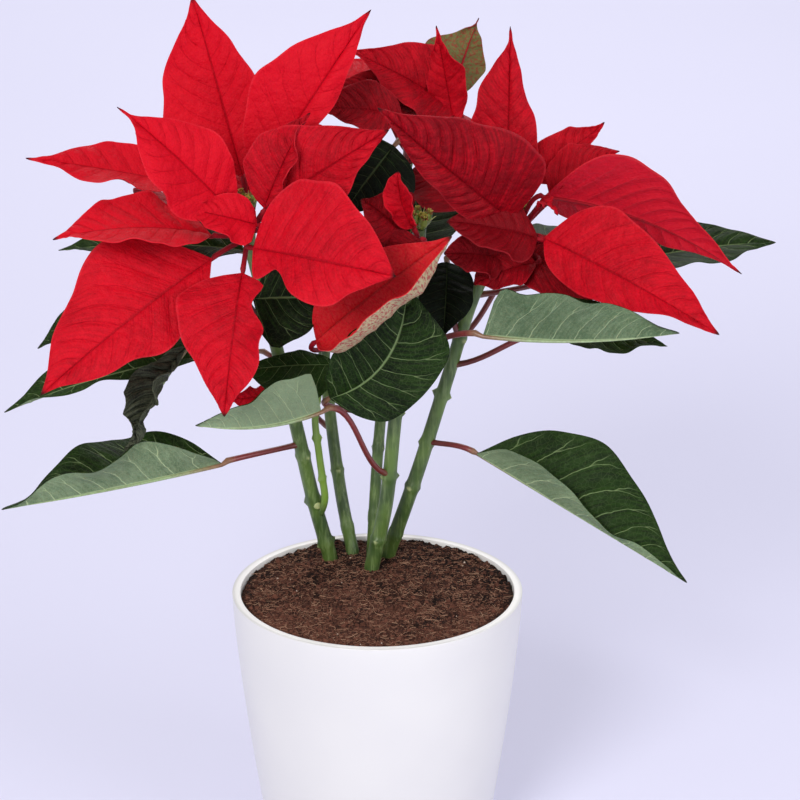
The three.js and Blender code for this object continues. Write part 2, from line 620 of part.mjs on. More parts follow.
// Soil: a mounded, slightly uneven top, and sides that follow the pot's inner wall.
function soilGeometry() {
  const random = seededRandom(7);
  const bottom = POT.floor + GAP;
  const middle = SOIL.edge / 2;
  const reach = (z) => potRadius(z) - POT.wall - SOIL.wallGap;
  const vertices = [new THREE.Vector3(0, 0, SOIL.edge + SOIL.mound)];
  const addRing = (radius, height, relief) => {
    for (let k = 0; k < SOIL.sectors; k += 1) {
      const turn = (2 * Math.PI * k) / SOIL.sectors;
      const z = height + relief * (random() - 0.5);
      vertices.push(new THREE.Vector3(radius * Math.cos(turn), radius * Math.sin(turn), z));
    }
  };
  for (let i = 1; i <= SOIL.rings; i += 1) {
    const share = i / SOIL.rings;
    const height = SOIL.edge + SOIL.mound * (1 - share ** 2);
    addRing(reach(SOIL.edge) * share, height, i < SOIL.rings ? SOIL.relief : 0);
  }
  addRing(reach(middle), middle, 0);
  addRing(reach(bottom), bottom, 0);
  const bands = SOIL.rings + 2;
  const under = vertices.push(new THREE.Vector3(0, 0, bottom)) - 1;
  const at = (band, k) => 1 + (band - 1) * SOIL.sectors + (k % SOIL.sectors);
  const triangles = [];
  for (let k = 0; k < SOIL.sectors; k += 1) {
    triangles.push([0, at(1, k), at(1, k + 1)]);
    for (let band = 1; band < bands; band += 1) {
      triangles.push([at(band, k), at(band + 1, k), at(band + 1, k + 1)]);
      triangles.push([at(band, k), at(band + 1, k + 1), at(band, k + 1)]);
    }
    triangles.push([under, at(bands, k + 1), at(bands, k)]);
  }
  return geometryFrom(vertices, triangles);
}

// ---------------------------------------------------------------- assembly

const group = new THREE.Group();
group.name = "potted_poinsettia";

function addNode(name, solid, kind) {
  const [color, roughness] = COLOURS[kind];
  const material = new THREE.MeshStandardMaterial({ color, roughness, metalness: 0 });
  material.name = kind;
  const geometry = solid instanceof THREE.BufferGeometry ? solid : geometryOf(solid);
  const mesh = new THREE.Mesh(geometry, material);
  mesh.name = name;
  group.add(mesh);
}

// The stems, grown by a clearance where one is asked for, with the side shoot fused to the left one.
function allStems(grow) {
  const solids = {};
  for (const [name, stem] of Object.entries(STEMS)) solids[name] = stemSolid(stem, grow);
  solids.left = solids.left.add(shootSolid(grow));
  return solids;
}

// Neither soil nor a leaf's stalk stands in the clear space round a stem.
const stems = allStems(0);
const clearances = allStems(GAP);
const soil = solidOf(soilGeometry()).subtract(unionOf(Object.values(clearances)));

addNode("pot", potGeometry(), "pot");
addNode("soil", soil, "soil");

for (const [name, solid] of Object.entries(stems)) addNode(`stem_${name}`, solid, "stem");

for (const [name, rows] of Object.entries(LEAVES)) {
  const { curve } = stemLine(STEMS[name]);
  for (const row of rows) {
    const from = curve.getPoint(shareAtHeight(curve, row.foot));
    const cut = stalkSolid(row, from).add(bladeSolid(row)).subtract(clearances[name]);
    const [leaf] = cut.decompose().sort((a, b) => b.volume() - a.volume());
    addNode(`leaf_${row.name}`, leaf, "leaf");
  }
}

for (const name of Object.keys(BRACTS)) {
  addNode(`bracts_${name}`, bractsSolid(name), "bract");
  addNode(`cyathia_${name}`, cyathiaSolid(name), "cyathia");
}

export default group;
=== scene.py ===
# %% [markdown]
# # A potted poinsettia, dressed
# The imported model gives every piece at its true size: the pot, the soil, five stems, nineteen leaves,
# and six whorls of red bracts with their cyathia. Those solids are coarse on purpose, because their
# work is collision and mass. This lesson keeps each form and models it again with the detail that
# the eye wants: veins, waved margins, leaf scars, crumbs of compost and a smooth glazed pot.
# Sizes are written in millimetres and turned into Blender's metres by MM.

import math

import bpy
import numpy as np
from mathutils import Matrix, Vector, noise


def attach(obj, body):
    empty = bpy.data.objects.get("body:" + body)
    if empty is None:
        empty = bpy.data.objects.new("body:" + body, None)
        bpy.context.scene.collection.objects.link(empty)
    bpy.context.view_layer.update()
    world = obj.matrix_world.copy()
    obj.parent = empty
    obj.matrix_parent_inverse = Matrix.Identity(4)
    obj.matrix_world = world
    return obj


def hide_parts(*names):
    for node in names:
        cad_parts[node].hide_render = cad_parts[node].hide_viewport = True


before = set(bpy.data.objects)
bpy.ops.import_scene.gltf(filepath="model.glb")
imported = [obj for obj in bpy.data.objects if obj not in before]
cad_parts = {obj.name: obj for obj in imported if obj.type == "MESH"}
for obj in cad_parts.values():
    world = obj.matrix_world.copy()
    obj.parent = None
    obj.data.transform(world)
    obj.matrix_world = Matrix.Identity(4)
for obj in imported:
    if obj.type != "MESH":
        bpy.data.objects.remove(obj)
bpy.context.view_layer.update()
MM = 0.001
print("pieces in the frame:", len(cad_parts))

# %% [markdown]
# ## Tools that every piece uses
# An operator acts on whatever is selected, so each step first chooses its piece and nothing else.
# Vertices are read and written as one array, which is how a form that follows a formula, such as a
# waved leaf, is shaped quickly. The finished mesh always lies in place, with its object at the origin.

# %% Choosing, reading and moving
def choose(*pieces):
    """Leave only these objects selected, the first of them active."""
    bpy.ops.object.select_all(action="DESELECT")
    for piece in pieces:
        piece.select_set(True)
    bpy.context.view_layer.objects.active = pieces[0]


def places_of(piece):
    """The vertices of a piece as an array of points."""
    places = np.empty(len(piece.data.vertices) * 3)
    piece.data.vertices.foreach_get("co", places)
    return places.reshape(-1, 3)


def put_vertices(piece, places):
    """Move the vertices of a piece to an array of points."""
    piece.data.vertices.foreach_set("co", np.ascontiguousarray(places, float).ravel())
    piece.data.update()


def paint(piece, name, values):
    """Give every vertex a number, for a material to read by its name."""
    layer = piece.data.attributes.new(name, "FLOAT", "POINT")
    layer.data.foreach_set("value", np.broadcast_to(values, len(piece.data.vertices)).astype(np.float32))


def unwrap(piece, name, across, up):
    """Lay a UV map from two numbers for each vertex."""
    layer = piece.data.uv_layers.get(name) or piece.data.uv_layers.new(name=name)
    corner = np.empty(len(piece.data.loops), np.int32)
    piece.data.loops.foreach_get("vertex_index", corner)
    flat = np.stack([across[corner], up[corner]], axis=1)
    layer.data.foreach_set("uv", flat.ravel().astype(np.float32))


def weld(piece, distance=0.001 * MM):
    """Merge vertices that lie on the same spot."""
    choose(piece)
    bpy.ops.object.mode_set(mode="EDIT")
    bpy.ops.mesh.select_all(action="SELECT")
    bpy.ops.mesh.remove_doubles(threshold=distance)
    bpy.ops.object.mode_set(mode="OBJECT")


def smooth(piece, degrees=50):
    """Shade smooth, and keep edges sharper than the angle."""
    choose(piece)
    bpy.ops.object.shade_smooth_by_angle(angle=math.radians(degrees))


def joined(name, parts):
    """One piece out of several."""
    choose(*parts)
    if len(parts) > 1:
        bpy.ops.object.join()
    piece = bpy.context.object
    piece.name = name
    piece.data.name = name
    return piece


def stands_for(piece, slot, *nodes):
    """The piece rides with the plant and replaces its plain solids."""
    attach(piece, "root")
    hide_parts(*nodes)

# %% [markdown]
# ## Camera
# The plant is seen from the front and a little above, from about a metre away, with a long lens so
# that near bracts aren't swollen. The pot's foot falls just below the picture.

# %% Camera
CAMERA = {"place": (0.0109, -1.0563, 0.5937), "look_down": 19.18, "lens": 107.1, "sensor": 36.0}

bpy.ops.object.camera_add(
    location=CAMERA["place"],
    rotation=(math.radians(90 - CAMERA["look_down"]), 0, 0),
)
camera = bpy.context.object
camera.name = "camera"
camera.data.lens = CAMERA["lens"]
camera.data.sensor_width = CAMERA["sensor"]
bpy.context.scene.camera = camera
print("camera lens", camera.data.lens, "mm")

# %% [markdown]
# ## Wiring finishes
# A finish is a small graph of nodes. Four helpers keep the graphs short: `add` makes a node and fills
# or links its sockets, `maths` does sums, `span` turns one range of numbers into another, and `mixed`
# blends two colours. Colours are given as they look on a screen and turned into linear light here.

# %% Helpers for finishes
# A Mix node has sockets for numbers, vectors and colours: these are the places of the ones for colours.
MIX_SHARE, MIX_FIRST, MIX_SECOND, MIX_RESULT = 0, 6, 7, 2
# Most of a noise's values lie between these two.
NOISE_LOW, NOISE_HIGH = 0.35, 0.7


def linear(colour):
    """A screen colour, 0 to 255, as linear light, by the standard curve of screens."""
    shares = [channel / 255 for channel in colour]
    return tuple(c / 12.92 if c < 0.04045 else ((c + 0.055) / 1.055) ** 2.4 for c in shares) + (1.0,)


def add(finish, kind, inputs=None, **settings):
    """A node of a kind, with its settings, and its sockets filled or linked."""
    made = finish.node_tree.nodes.new("ShaderNode" + kind)
    for name, value in settings.items():
        setattr(made, name, value)
    for name, value in (inputs or {}).items():
        if isinstance(value, bpy.types.NodeSocket):
            finish.node_tree.links.new(value, made.inputs[name])
        else:
            made.inputs[name].default_value = value
    return made


def maths(finish, operation, *values):
    """A sum of numbers or sockets."""
    numbered = dict(enumerate(values))
    return add(finish, "Math", numbered, operation=operation).outputs[0]


def span(finish, value, low, high, to_low=0.0, to_high=1.0):
    """Ease a value from one range into another."""
    inputs = {"Value": value, "From Min": low, "From Max": high, "To Min": to_low, "To Max": to_high}
    return add(finish, "MapRange", inputs, interpolation_type="SMOOTHSTEP").outputs["Result"]


def mixed(finish, share, first, second):
    """A blend of two colours."""
    inputs = {MIX_SHARE: share, MIX_FIRST: first, MIX_SECOND: second}
    return add(finish, "Mix", inputs, data_type="RGBA").outputs[MIX_RESULT]


def speckle(finish, place, scale, detail=3.0, roughness=0.55):
    """A soft random pattern, from 0 to 1."""
    inputs = {"Vector": place, "Scale": scale, "Detail": detail, "Roughness": roughness}
    return add(finish, "TexNoise", inputs).outputs["Fac"]


def painted(finish, name):
    """The number painted on the vertices under a name."""
    return add(finish, "Attribute", attribute_name=name).outputs["Fac"]


def new_finish(name, **shader):
    """A finish and its shader, with the shader's own sockets set."""
    finish = bpy.data.materials.new(name)
    finish.use_nodes = True
    surface = finish.node_tree.nodes["Principled BSDF"]
    for socket, value in shader.items():
        surface.inputs[socket.replace("_", " ")].default_value = value
    return finish, surface


def set_finish(finish, surface, **sockets):
    """Link graphs into the shader's sockets."""
    for socket, value in sockets.items():
        finish.node_tree.links.new(value, surface.inputs[socket.replace("_", " ")])


def bump(finish, height, depth_mm, strength=1.0):
    """Fine relief from a height between 0 and 1."""
    inputs = {"Height": height, "Distance": depth_mm * MM, "Strength": strength}
    return add(finish, "Bump", inputs).outputs["Normal"]

# %% [markdown]
# ## Pot
# The pot is slip-cast and glazed white. Its side is a gentle curve, steeper towards a thin rounded
# rim. It could be a lathe curve, but a cylinder that is opened at the top by an inset and an extrusion,
# sliced into rings, and then pulled to its profile, keeps even faces that take a bevel well.

# %% Pot: profile
POT_HEIGHT = 130 * MM
POT_WALL = 4 * MM
POT_FLOOR = 5 * MM
POT_RIM_RADIUS = 70 * MM
POT_BASE_RADIUS = 54.5 * MM
POT_TAPER = 1.35
POT_SIDES = 160
POT_RINGS = 24
FACING_UP = 0.9


def pot_radius(height):
    """The outside radius at a height, by the pot's curve."""
    drop = POT_RIM_RADIUS - POT_BASE_RADIUS
    return POT_RIM_RADIUS - drop * (1 - np.clip(height / POT_HEIGHT, 0, 1)) ** POT_TAPER


def select_top(piece):
    """Select the faces that look up, and nothing else, and stay in edit mode."""
    bpy.ops.object.mode_set(mode="EDIT")
    bpy.ops.mesh.select_mode(type="FACE")
    bpy.ops.mesh.select_all(action="DESELECT")
    bpy.ops.object.mode_set(mode="OBJECT")
    for face in piece.data.polygons:
        face.select = face.normal.z > FACING_UP
    bpy.ops.object.mode_set(mode="EDIT")

# %% Pot: the turned body
MOUTH_INSET = 0.05

bpy.ops.mesh.primitive_cylinder_add(
    vertices=POT_SIDES, radius=1, depth=POT_HEIGHT, location=(0, 0, POT_HEIGHT / 2)
)
pot = bpy.context.object
pot.name = "pot_glazed"
bpy.ops.object.transform_apply(location=True)
select_top(pot)
bpy.ops.mesh.inset(thickness=MOUTH_INSET)
bpy.ops.mesh.extrude_region_move(TRANSFORM_OT_translate={"value": (0, 0, POT_FLOOR - POT_HEIGHT)})
for i in range(1, POT_RINGS):
    bpy.ops.mesh.select_all(action="SELECT")
    height = POT_HEIGHT * i / POT_RINGS
    bpy.ops.mesh.bisect(plane_co=(0, 0, height), plane_no=(0, 0, 1))
bpy.ops.object.mode_set(mode="OBJECT")

points = places_of(pot)
radius = np.hypot(points[:, 0], points[:, 1])
inside = radius < 1 - MOUTH_INSET / 2
target = pot_radius(points[:, 2]) - np.where(inside, POT_WALL, 0)
points[:, :2] *= (target / radius)[:, None]
put_vertices(pot, points)
print("pot rings", POT_RINGS, "rim", round(2 * float(target.max()) / MM), "mm across")

# %% Pot: rounded rim and foot
RIM_ROUND = 1.9 * MM
RIM_SEGMENTS = 6
RIM_ANGLE = math.radians(50)

choose(pot)
modifier = pot.modifiers.new("rounding", "BEVEL")
modifier.limit_method = "ANGLE"
modifier.angle_limit = RIM_ANGLE
modifier.width = RIM_ROUND
modifier.segments = RIM_SEGMENTS
bpy.ops.object.modifier_apply(modifier=modifier.name)
smooth(pot, degrees=40)
points = places_of(pot)
depth = pot_radius(points[:, 2]) - np.hypot(points[:, 0], points[:, 1])
paint(pot, "inside", np.clip(depth / POT_WALL, 0, 1))
stands_for(pot, "pot", "pot")

# %% [markdown]
# The glaze is a clean white with a soft gloss. It pools a little, so its tone and surface vary very
# slightly over a few centimetres, and a few faint specks keep it from looking like plastic. The inner
# wall and the rim are painted whiter, a painted light for the light that bounces inside the pot.

# %% Pot: white glaze
GLAZE = (220, 219, 216)
GLAZE_POOLED = (217, 216, 214)
GLAZE_SPECK = (190, 186, 180)
GLAZE_PAINTED_LIGHT_INSIDE = (248, 246, 243)
POOL_SCALE = 18.0
SPECK_SCALE = 900.0
SPECK_BETWEEN = (0.76, 0.82)
SPECK_STRENGTH = 0.06
INSIDE_BETWEEN = (0.1, 0.55)

glaze, surface = new_finish("white_glaze", Roughness=0.32, Coat_Weight=0.2, Coat_Roughness=0.15)
place = add(glaze, "TexCoord").outputs["Object"]
pooling = speckle(glaze, place, POOL_SCALE, detail=2.0)
colour = mixed(glaze, span(glaze, pooling, NOISE_LOW, NOISE_HIGH), linear(GLAZE), linear(GLAZE_POOLED))
# Painted light: the inner wall and the rim are painted whiter, for the light that bounces inside the pot.
within = span(glaze, painted(glaze, "inside"), *INSIDE_BETWEEN)
colour = mixed(glaze, within, colour, linear(GLAZE_PAINTED_LIGHT_INSIDE))
specks = span(glaze, speckle(glaze, place, SPECK_SCALE, detail=1.0), *SPECK_BETWEEN)
colour = mixed(glaze, maths(glaze, "MULTIPLY", specks, SPECK_STRENGTH), colour, linear(GLAZE_SPECK))
set_finish(glaze, surface, Base_Color=colour, Normal=bump(glaze, pooling, depth_mm=0.12, strength=0.2))
pot.data.materials.append(glaze)

# %% [markdown]
# ## Soil
# The pot is filled with a peaty compost: a shallow mound of crumbs, with short rusty fibres, a few pale
# ones and a few white grains. A flat noise bump would look like carpet, so the ground is a real relief.
# A grid is rounded into a disc, raised by noise into lumps, and closed below by extruding its edge down
# the pot's inner wall. Loose crumbs and fibres are modelled once each and then strewn as copies.

# %% Soil: sizes
SOIL_EDGE = 127.5 * MM
SOIL_MOUND = 2.5 * MM
SOIL_CELLS = 240
SOIL_WALL_GAP = 0.4 * MM
SOIL_LEVELS = (0.8, 0.55, 0.3)
BACK_RISE = 1.1 * MM
EDGE_FROM, EDGE_DROP = 0.955, 1.4 * MM
DROP_EVEN, DROP_IN_FRONT = 0.55, 0.45
BANK_FROM, BANK_LUMPS = 0.8, 1.5 * MM
BANK_EVEN, BANK_ON_LUMPY_SIDE = 0.3, 0.7
LUMPY_SIDE = (1 / 2.24, 2 / 2.24)
LUMP_SPAN, LUMP_HEIGHT, LUMP_FRACTAL = 14 * MM, 1.0 * MM, (0.9, 2.1, 4)
CLOD_SPAN, CLOD_MIDDLE, CLOD_RANGE = 4.2 * MM, 0.4, 1.6
FINE_SPAN, FINE_HEIGHT = 1.1 * MM, 0.3 * MM
CRUMB_SPAN, CRUMB_HEIGHT = 1.7 * MM, 0.9 * MM
CRUMB_STEEPNESS = 1.7
CRUMB_MIDDLE = 0.6
CRUMB_SCRAMBLE = (12.9, 78.2, 43.7)
OWN_HEIGHT = 0.6
OWN_TONE = 0.55
# Noise fills space, and each kind of lump is cut from it at a level of its own.
LUMP_CUT, CLOD_CUT, FINE_CUT, CRUMB_CUT = 0.3, 4.0, 2.0, 0.7

rng = np.random.default_rng(12)


def rounded(square):
    """Map the points of a square from -1 to 1 onto the unit disc, keeping the cells even."""
    x, y = square[:, 0], square[:, 1]
    wide = np.abs(x) > np.abs(y)
    radius = np.where(wide, x, y)
    with np.errstate(divide="ignore", invalid="ignore"):
        turn = np.where(wide, np.pi / 4 * y / x, np.pi / 2 - np.pi / 4 * x / y)
    turn = np.nan_to_num(turn)
    return np.stack([radius * np.cos(turn), radius * np.sin(turn)], axis=1)


def soil_reach(height):
    """The soil's radius at a height, just inside the pot's wall."""
    return pot_radius(height) - POT_WALL - SOIL_WALL_GAP


def crumbling(x, y):
    """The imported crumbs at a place: 0 in the gaps to 1 on their tops, and each crumb's own number."""
    apart, middles = noise.voronoi((x / CRUMB_SPAN, y / CRUMB_SPAN, CRUMB_CUT))
    by_x, by_y, times = CRUMB_SCRAMBLE
    own = math.sin(by_x * middles[0][0] + by_y * middles[0][1]) * times
    return min(1.0, CRUMB_STEEPNESS * (apart[1] - apart[0])), own - math.floor(own)


def soil_height(x, y):
    """The height of the ground: a mound, higher at the back, with lumps near the wall and packed crumbs."""
    reach = soil_reach(SOIL_EDGE)
    out = math.hypot(x, y) / reach
    back = y / reach
    mound = SOIL_MOUND * (1 - out * out) + BACK_RISE * out * max(0.0, back)
    at_edge = max(0.0, (out - EDGE_FROM) / (1 - EDGE_FROM)) ** 2
    drop = EDGE_DROP * (DROP_EVEN - DROP_IN_FRONT * back) * at_edge

    lumpy_side = max(0.0, (x * LUMPY_SIDE[0] + y * LUMPY_SIDE[1]) / reach)
    on_bank = max(0.0, (out - BANK_FROM) / (1 - BANK_FROM))
    clods = CLOD_MIDDLE + CLOD_RANGE * noise.noise((x / CLOD_SPAN, y / CLOD_SPAN, CLOD_CUT))
    bank = BANK_LUMPS * on_bank * (BANK_EVEN + BANK_ON_LUMPY_SIDE * lumpy_side) * clods

    lumps = LUMP_HEIGHT * noise.fractal((x / LUMP_SPAN, y / LUMP_SPAN, LUMP_CUT), *LUMP_FRACTAL)
    top, own = crumbling(x, y)
    packed = CRUMB_HEIGHT * (1 - OWN_HEIGHT + OWN_HEIGHT * own) * (top - CRUMB_MIDDLE)
    fine = FINE_HEIGHT * noise.noise((x / FINE_SPAN, y / FINE_SPAN, FINE_CUT))
    return SOIL_EDGE + mound - drop + bank + lumps + packed + fine

# %% Soil: the ground
bpy.ops.mesh.primitive_grid_add(x_subdivisions=SOIL_CELLS, y_subdivisions=SOIL_CELLS, size=2)
soil = bpy.context.object
points = places_of(soil)
points[:, :2] = rounded(points[:, :2]) * soil_reach(SOIL_EDGE)
points[:, 2] = [soil_height(x, y) for x, y in points[:, :2]]
put_vertices(soil, points)

bpy.ops.object.mode_set(mode="EDIT")
bpy.ops.mesh.select_all(action="SELECT")
bpy.ops.mesh.region_to_loop()
for level in (*(POT_HEIGHT * share for share in SOIL_LEVELS), POT_FLOOR + SOIL_WALL_GAP):
    bpy.ops.mesh.extrude_edges_move(TRANSFORM_OT_translate={"value": (0, 0, -1 * MM)})
    bpy.ops.transform.resize(value=(1, 1, 0), center_override=(0, 0, level))
bpy.ops.mesh.edge_face_add()
bpy.ops.object.mode_set(mode="OBJECT")

points = places_of(soil)
below = points[:, 2] < POT_HEIGHT * (SOIL_LEVELS[0] + 0.05)
radius = np.hypot(points[below, 0], points[below, 1])
points[below, :2] *= (soil_reach(points[below, 2]) / radius)[:, None]
put_vertices(soil, points)
choose(soil)
bpy.ops.object.mode_set(mode="EDIT")
bpy.ops.mesh.select_all(action="SELECT")
bpy.ops.mesh.normals_make_consistent(inside=False)
bpy.ops.object.mode_set(mode="OBJECT")
smooth(soil, degrees=60)
top, own = np.transpose([crumbling(x, y) for x, y in places_of(soil)[:, :2]])
paint(soil, "tone", top * (1 - OWN_TONE + OWN_TONE * own))
soil.name = "soil_ground"
print("ground faces", len(soil.data.polygons))

# %% [markdown]
# Copies of one small model are laid out by a helper. Each copy is stretched and turned at random from
# a seeded draw, and gets a tone of its own, so that no two crumbs match. All copies of a kind are one
# mesh, which is lighter than hundreds of objects.

# %% Strewing copies
BULGE, BULGES_ACROSS = 0.75, 1.3
STREWN_OUT_TO = 0.965


def turned(angles):
    """Turn matrices from three random angles for each copy."""
    a, b, c = angles.T
    zero, one = np.zeros_like(a), np.ones_like(a)
    spin = np.array([[np.cos(a), -np.sin(a), zero], [np.sin(a), np.cos(a), zero], [zero, zero, one]])
    tip = np.array([[one, zero, zero], [zero, np.cos(b), -np.sin(b)], [zero, np.sin(b), np.cos(b)]])
    roll = np.array([[np.cos(c), -np.sin(c), zero], [np.sin(c), np.cos(c), zero], [zero, zero, one]])
    spin, tip, roll = (m.transpose(2, 0, 1) for m in (spin, tip, roll))
    return spin @ tip @ roll


def strewn(name, model, spots, sizes, angles, tones):
    """Copies of a model, stretched by sizes, turned by angles and set on spots, as one piece."""
    shape = places_of(model)
    faces = [list(face.vertices) for face in model.data.polygons]
    stretched = shape[None, :, :] * sizes[:, None, :]
    laid = np.einsum("nij,nkj->nki", turned(angles), stretched) + spots[:, None, :]
    mesh = bpy.data.meshes.new(name)
    count = len(shape)
    copies = [[corner + i * count for corner in face] for i in range(len(spots)) for face in faces]
    mesh.from_pydata(laid.reshape(-1, 3).tolist(), [], copies)
    piece = bpy.data.objects.new(name, mesh)
    bpy.context.collection.objects.link(piece)
    paint(piece, "tone", np.repeat(tones, count))
    bpy.data.objects.remove(model)
    return piece


def crumb_model(cuts, seed):
    """A small stone-like ball, pushed in and out by noise."""
    bpy.ops.mesh.primitive_ico_sphere_add(subdivisions=cuts, radius=1)
    model = bpy.context.object
    points = places_of(model)
    bulge = [1 + BULGE * noise.noise(Vector(p) * BULGES_ACROSS + Vector((seed, 0, 0))) for p in points]
    put_vertices(model, points * np.array(bulge)[:, None])
    return model


def ground_spots(count, sunk):
    """Random places on the ground, even over its area."""
    out = np.sqrt(rng.uniform(0, 1, count)) * STREWN_OUT_TO * soil_reach(SOIL_EDGE)
    turn = rng.uniform(0, 2 * np.pi, count)
    x, y = out * np.cos(turn), out * np.sin(turn)
    z = np.array([soil_height(a, b) for a, b in zip(x, y)]) - sunk
    return np.stack([x, y, z], axis=1)

# %% Soil: crumbs
CRUMBS = {
    "soil_crumbs_large": {"count": 600, "radius": (0.6, 1.3), "cuts": 2, "degrees": 180},
    "soil_crumbs_small": {"count": 7600, "radius": (0.25, 0.62), "cuts": 1, "degrees": 30},
}
CRUMB_STRETCH = (0.6, 1.25)
CRUMB_SUNK = 0.1 * MM
CRUMB_SEED = 3.7

ground = [soil]
for name, kind in CRUMBS.items():
    count = kind["count"]
    radius = rng.uniform(*kind["radius"], count) * MM
    sizes = radius[:, None] * rng.uniform(*CRUMB_STRETCH, (count, 3))
    angles = rng.uniform(0, 2 * np.pi, (count, 3))
    tones = rng.uniform(0, 1, count)
    spots = ground_spots(count, CRUMB_SUNK)
    crumbs = strewn(name, crumb_model(kind["cuts"], CRUMB_SEED), spots, sizes, angles, tones)
    smooth(crumbs, kind["degrees"])
    ground.append(crumbs)
    print(name, len(crumbs.data.polygons), "faces")

# %% [markdown]
# A fibre is a thin three-sided rod, bent into a bow with a slight S. It lies almost flat, so only its
# first turn is free, and the other two stay small. Fine rusty fibres give the compost its scale, and a
# few longer straw ones catch the light. The white grains are crumbs of a more even kind.

# %% Soil: fibres and white grains
FIBRES = 3600
FIBRE_HALF_LENGTH = (0.6, 2.0)
FIBRE_RADIUS = (0.07, 0.13)
FIBRE_TONES, STRAW_TONES = (0.0, 0.5), (0.75, 1.0)
FIBRE_CUTS = (-0.6, -0.2, 0.2, 0.6)
FIBRE_BOW, FIBRE_S = 7.0, 3.0
FIBRE_TIPS, FIBRE_ROLLS = 0.25, 0.2
STRAW_SHARE = 0.06
STRAW_LONGER = 1.8
GRAINS = 14
GRAIN_RADIUS = (0.25, 0.5)
GRAIN_STRETCH = (0.8, 1.2)
GRAIN_SEED = 9.1
LOOSE_LIFT = 0.3 * MM

bpy.ops.mesh.primitive_cylinder_add(vertices=3, radius=1, depth=2, rotation=(0, math.radians(90), 0))
fibre = bpy.context.object
bpy.ops.object.transform_apply(rotation=True)
bpy.ops.object.mode_set(mode="EDIT")
for cut in FIBRE_CUTS:
    bpy.ops.mesh.select_all(action="SELECT")
    bpy.ops.mesh.bisect(plane_co=(cut, 0, 0), plane_no=(1, 0, 0))
bpy.ops.object.mode_set(mode="OBJECT")
points = places_of(fibre)
points[:, 1] += FIBRE_BOW * (1 - points[:, 0] ** 2) + FIBRE_S * np.sin(math.pi * points[:, 0])
put_vertices(fibre, points)

straws = rng.uniform(0, 1, FIBRES) < STRAW_SHARE
length = rng.uniform(*FIBRE_HALF_LENGTH, FIBRES) * MM * np.where(straws, STRAW_LONGER, 1.0)
radius = rng.uniform(*FIBRE_RADIUS, FIBRES) * MM
sizes = np.stack([length, radius, radius], axis=1)
angles = np.stack([
    rng.uniform(0, 2 * np.pi, FIBRES),
    rng.normal(0, FIBRE_TIPS, FIBRES),
    rng.normal(0, FIBRE_ROLLS, FIBRES),
], axis=1)
spots = ground_spots(FIBRES, -LOOSE_LIFT)
tones = np.where(straws, rng.uniform(*STRAW_TONES, FIBRES), rng.uniform(*FIBRE_TONES, FIBRES))
fibres = strewn("soil_fibres", fibre, spots, sizes, angles, tones)

radius = rng.uniform(*GRAIN_RADIUS, GRAINS) * MM
sizes = radius[:, None] * rng.uniform(*GRAIN_STRETCH, (GRAINS, 3))
angles = rng.uniform(0, 2 * np.pi, (GRAINS, 3))
spots = ground_spots(GRAINS, -LOOSE_LIFT)
tones = rng.uniform(0, 1, GRAINS)
grains = strewn("soil_grains", crumb_model(2, GRAIN_SEED), spots, sizes, angles, tones)
print("fibres", FIBRES, "grains", GRAINS)

# %% [markdown]
# Compost is nearly black where it is deep and moist, and red-brown where a crumb stands dry. The
# finish mixes the two by a painted tone, each loose crumb's own and, on the ground, darker in the gaps
# between packed crumbs and lighter on their tops, and by noise at two scales. Painted shade darkens it
# towards the far side of the pot and a little towards the right.

# %% Soil: finishes
COMPOST_DEEP = (20, 10, 7)
COMPOST_DRY = (116, 73, 58)
# Painted shade: the compost is painted darker towards the far side of the pot and a little towards the
# right.
FAR_SIDE_PAINTED_SHADE = (-1.0, -3.6, 0.0)
FIBRE_PALE = (190, 150, 120)
FIBRE_RUSTY = (124, 76, 56)
GRAIN_WHITE = (206, 200, 190)
BROAD_SCALE, FINE_SCALE, RELIEF_SCALE, CHALK_SCALE = 60.0, 1300.0, 2600.0, 1200.0
TONE_SHARE = 0.75
DRY_AND_SHADE_BETWEEN = (0.85, 1.9)

compost, surface = new_finish("compost", Roughness=0.95, Specular_IOR_Level=0.2)
place = add(compost, "TexCoord").outputs["Object"]
broad = speckle(compost, place, BROAD_SCALE)
fine = speckle(compost, place, FINE_SCALE, roughness=0.7)
dryness_and_shade = maths(compost, "MULTIPLY_ADD", painted(compost, "tone"), TONE_SHARE, broad)
dryness_and_shade = maths(compost, "ADD", dryness_and_shade, fine)
# Painted shade towards the far side.
shaded = add(compost, "VectorMath", {0: place, 1: FAR_SIDE_PAINTED_SHADE}, operation="DOT_PRODUCT").outputs["Value"]
dryness_and_shade = maths(compost, "ADD", dryness_and_shade, shaded)
colour = mixed(compost, span(compost, dryness_and_shade, *DRY_AND_SHADE_BETWEEN), linear(COMPOST_DEEP), linear(COMPOST_DRY))
rough = maths(compost, "ADD", fine, speckle(compost, place, RELIEF_SCALE))
set_finish(compost, surface, Base_Color=colour, Normal=bump(compost, rough, depth_mm=0.5, strength=0.9))

straw, surface = new_finish("straw_fibre", Roughness=0.8)
colour = mixed(straw, painted(straw, "tone"), linear(FIBRE_RUSTY), linear(FIBRE_PALE))
set_finish(straw, surface, Base_Color=colour)

chalk, surface = new_finish("white_grain", Roughness=0.85)
place = add(chalk, "TexCoord").outputs["Object"]
colour = mixed(chalk, speckle(chalk, place, CHALK_SCALE), linear(GRAIN_WHITE), linear(FIBRE_PALE))
set_finish(chalk, surface, Base_Color=colour)

for piece in ground:
    piece.data.materials.append(compost)
fibres.data.materials.append(straw)
grains.data.materials.append(chalk)
for piece in (*ground, fibres, grains):
    stands_for(piece, "soil", "soil")

# %% [markdown]
# ## Stems
# Each stem is a green rod about as thick as a pencil. It swells at every old leaf node, where a scar
# sticks out like a small shelf. A curve with a round bevel would give a plain wire, so a cylinder is
# cut into many rings, each ring is carried to its place on the stem's line, and single vertices are
# then pushed out for the scars.

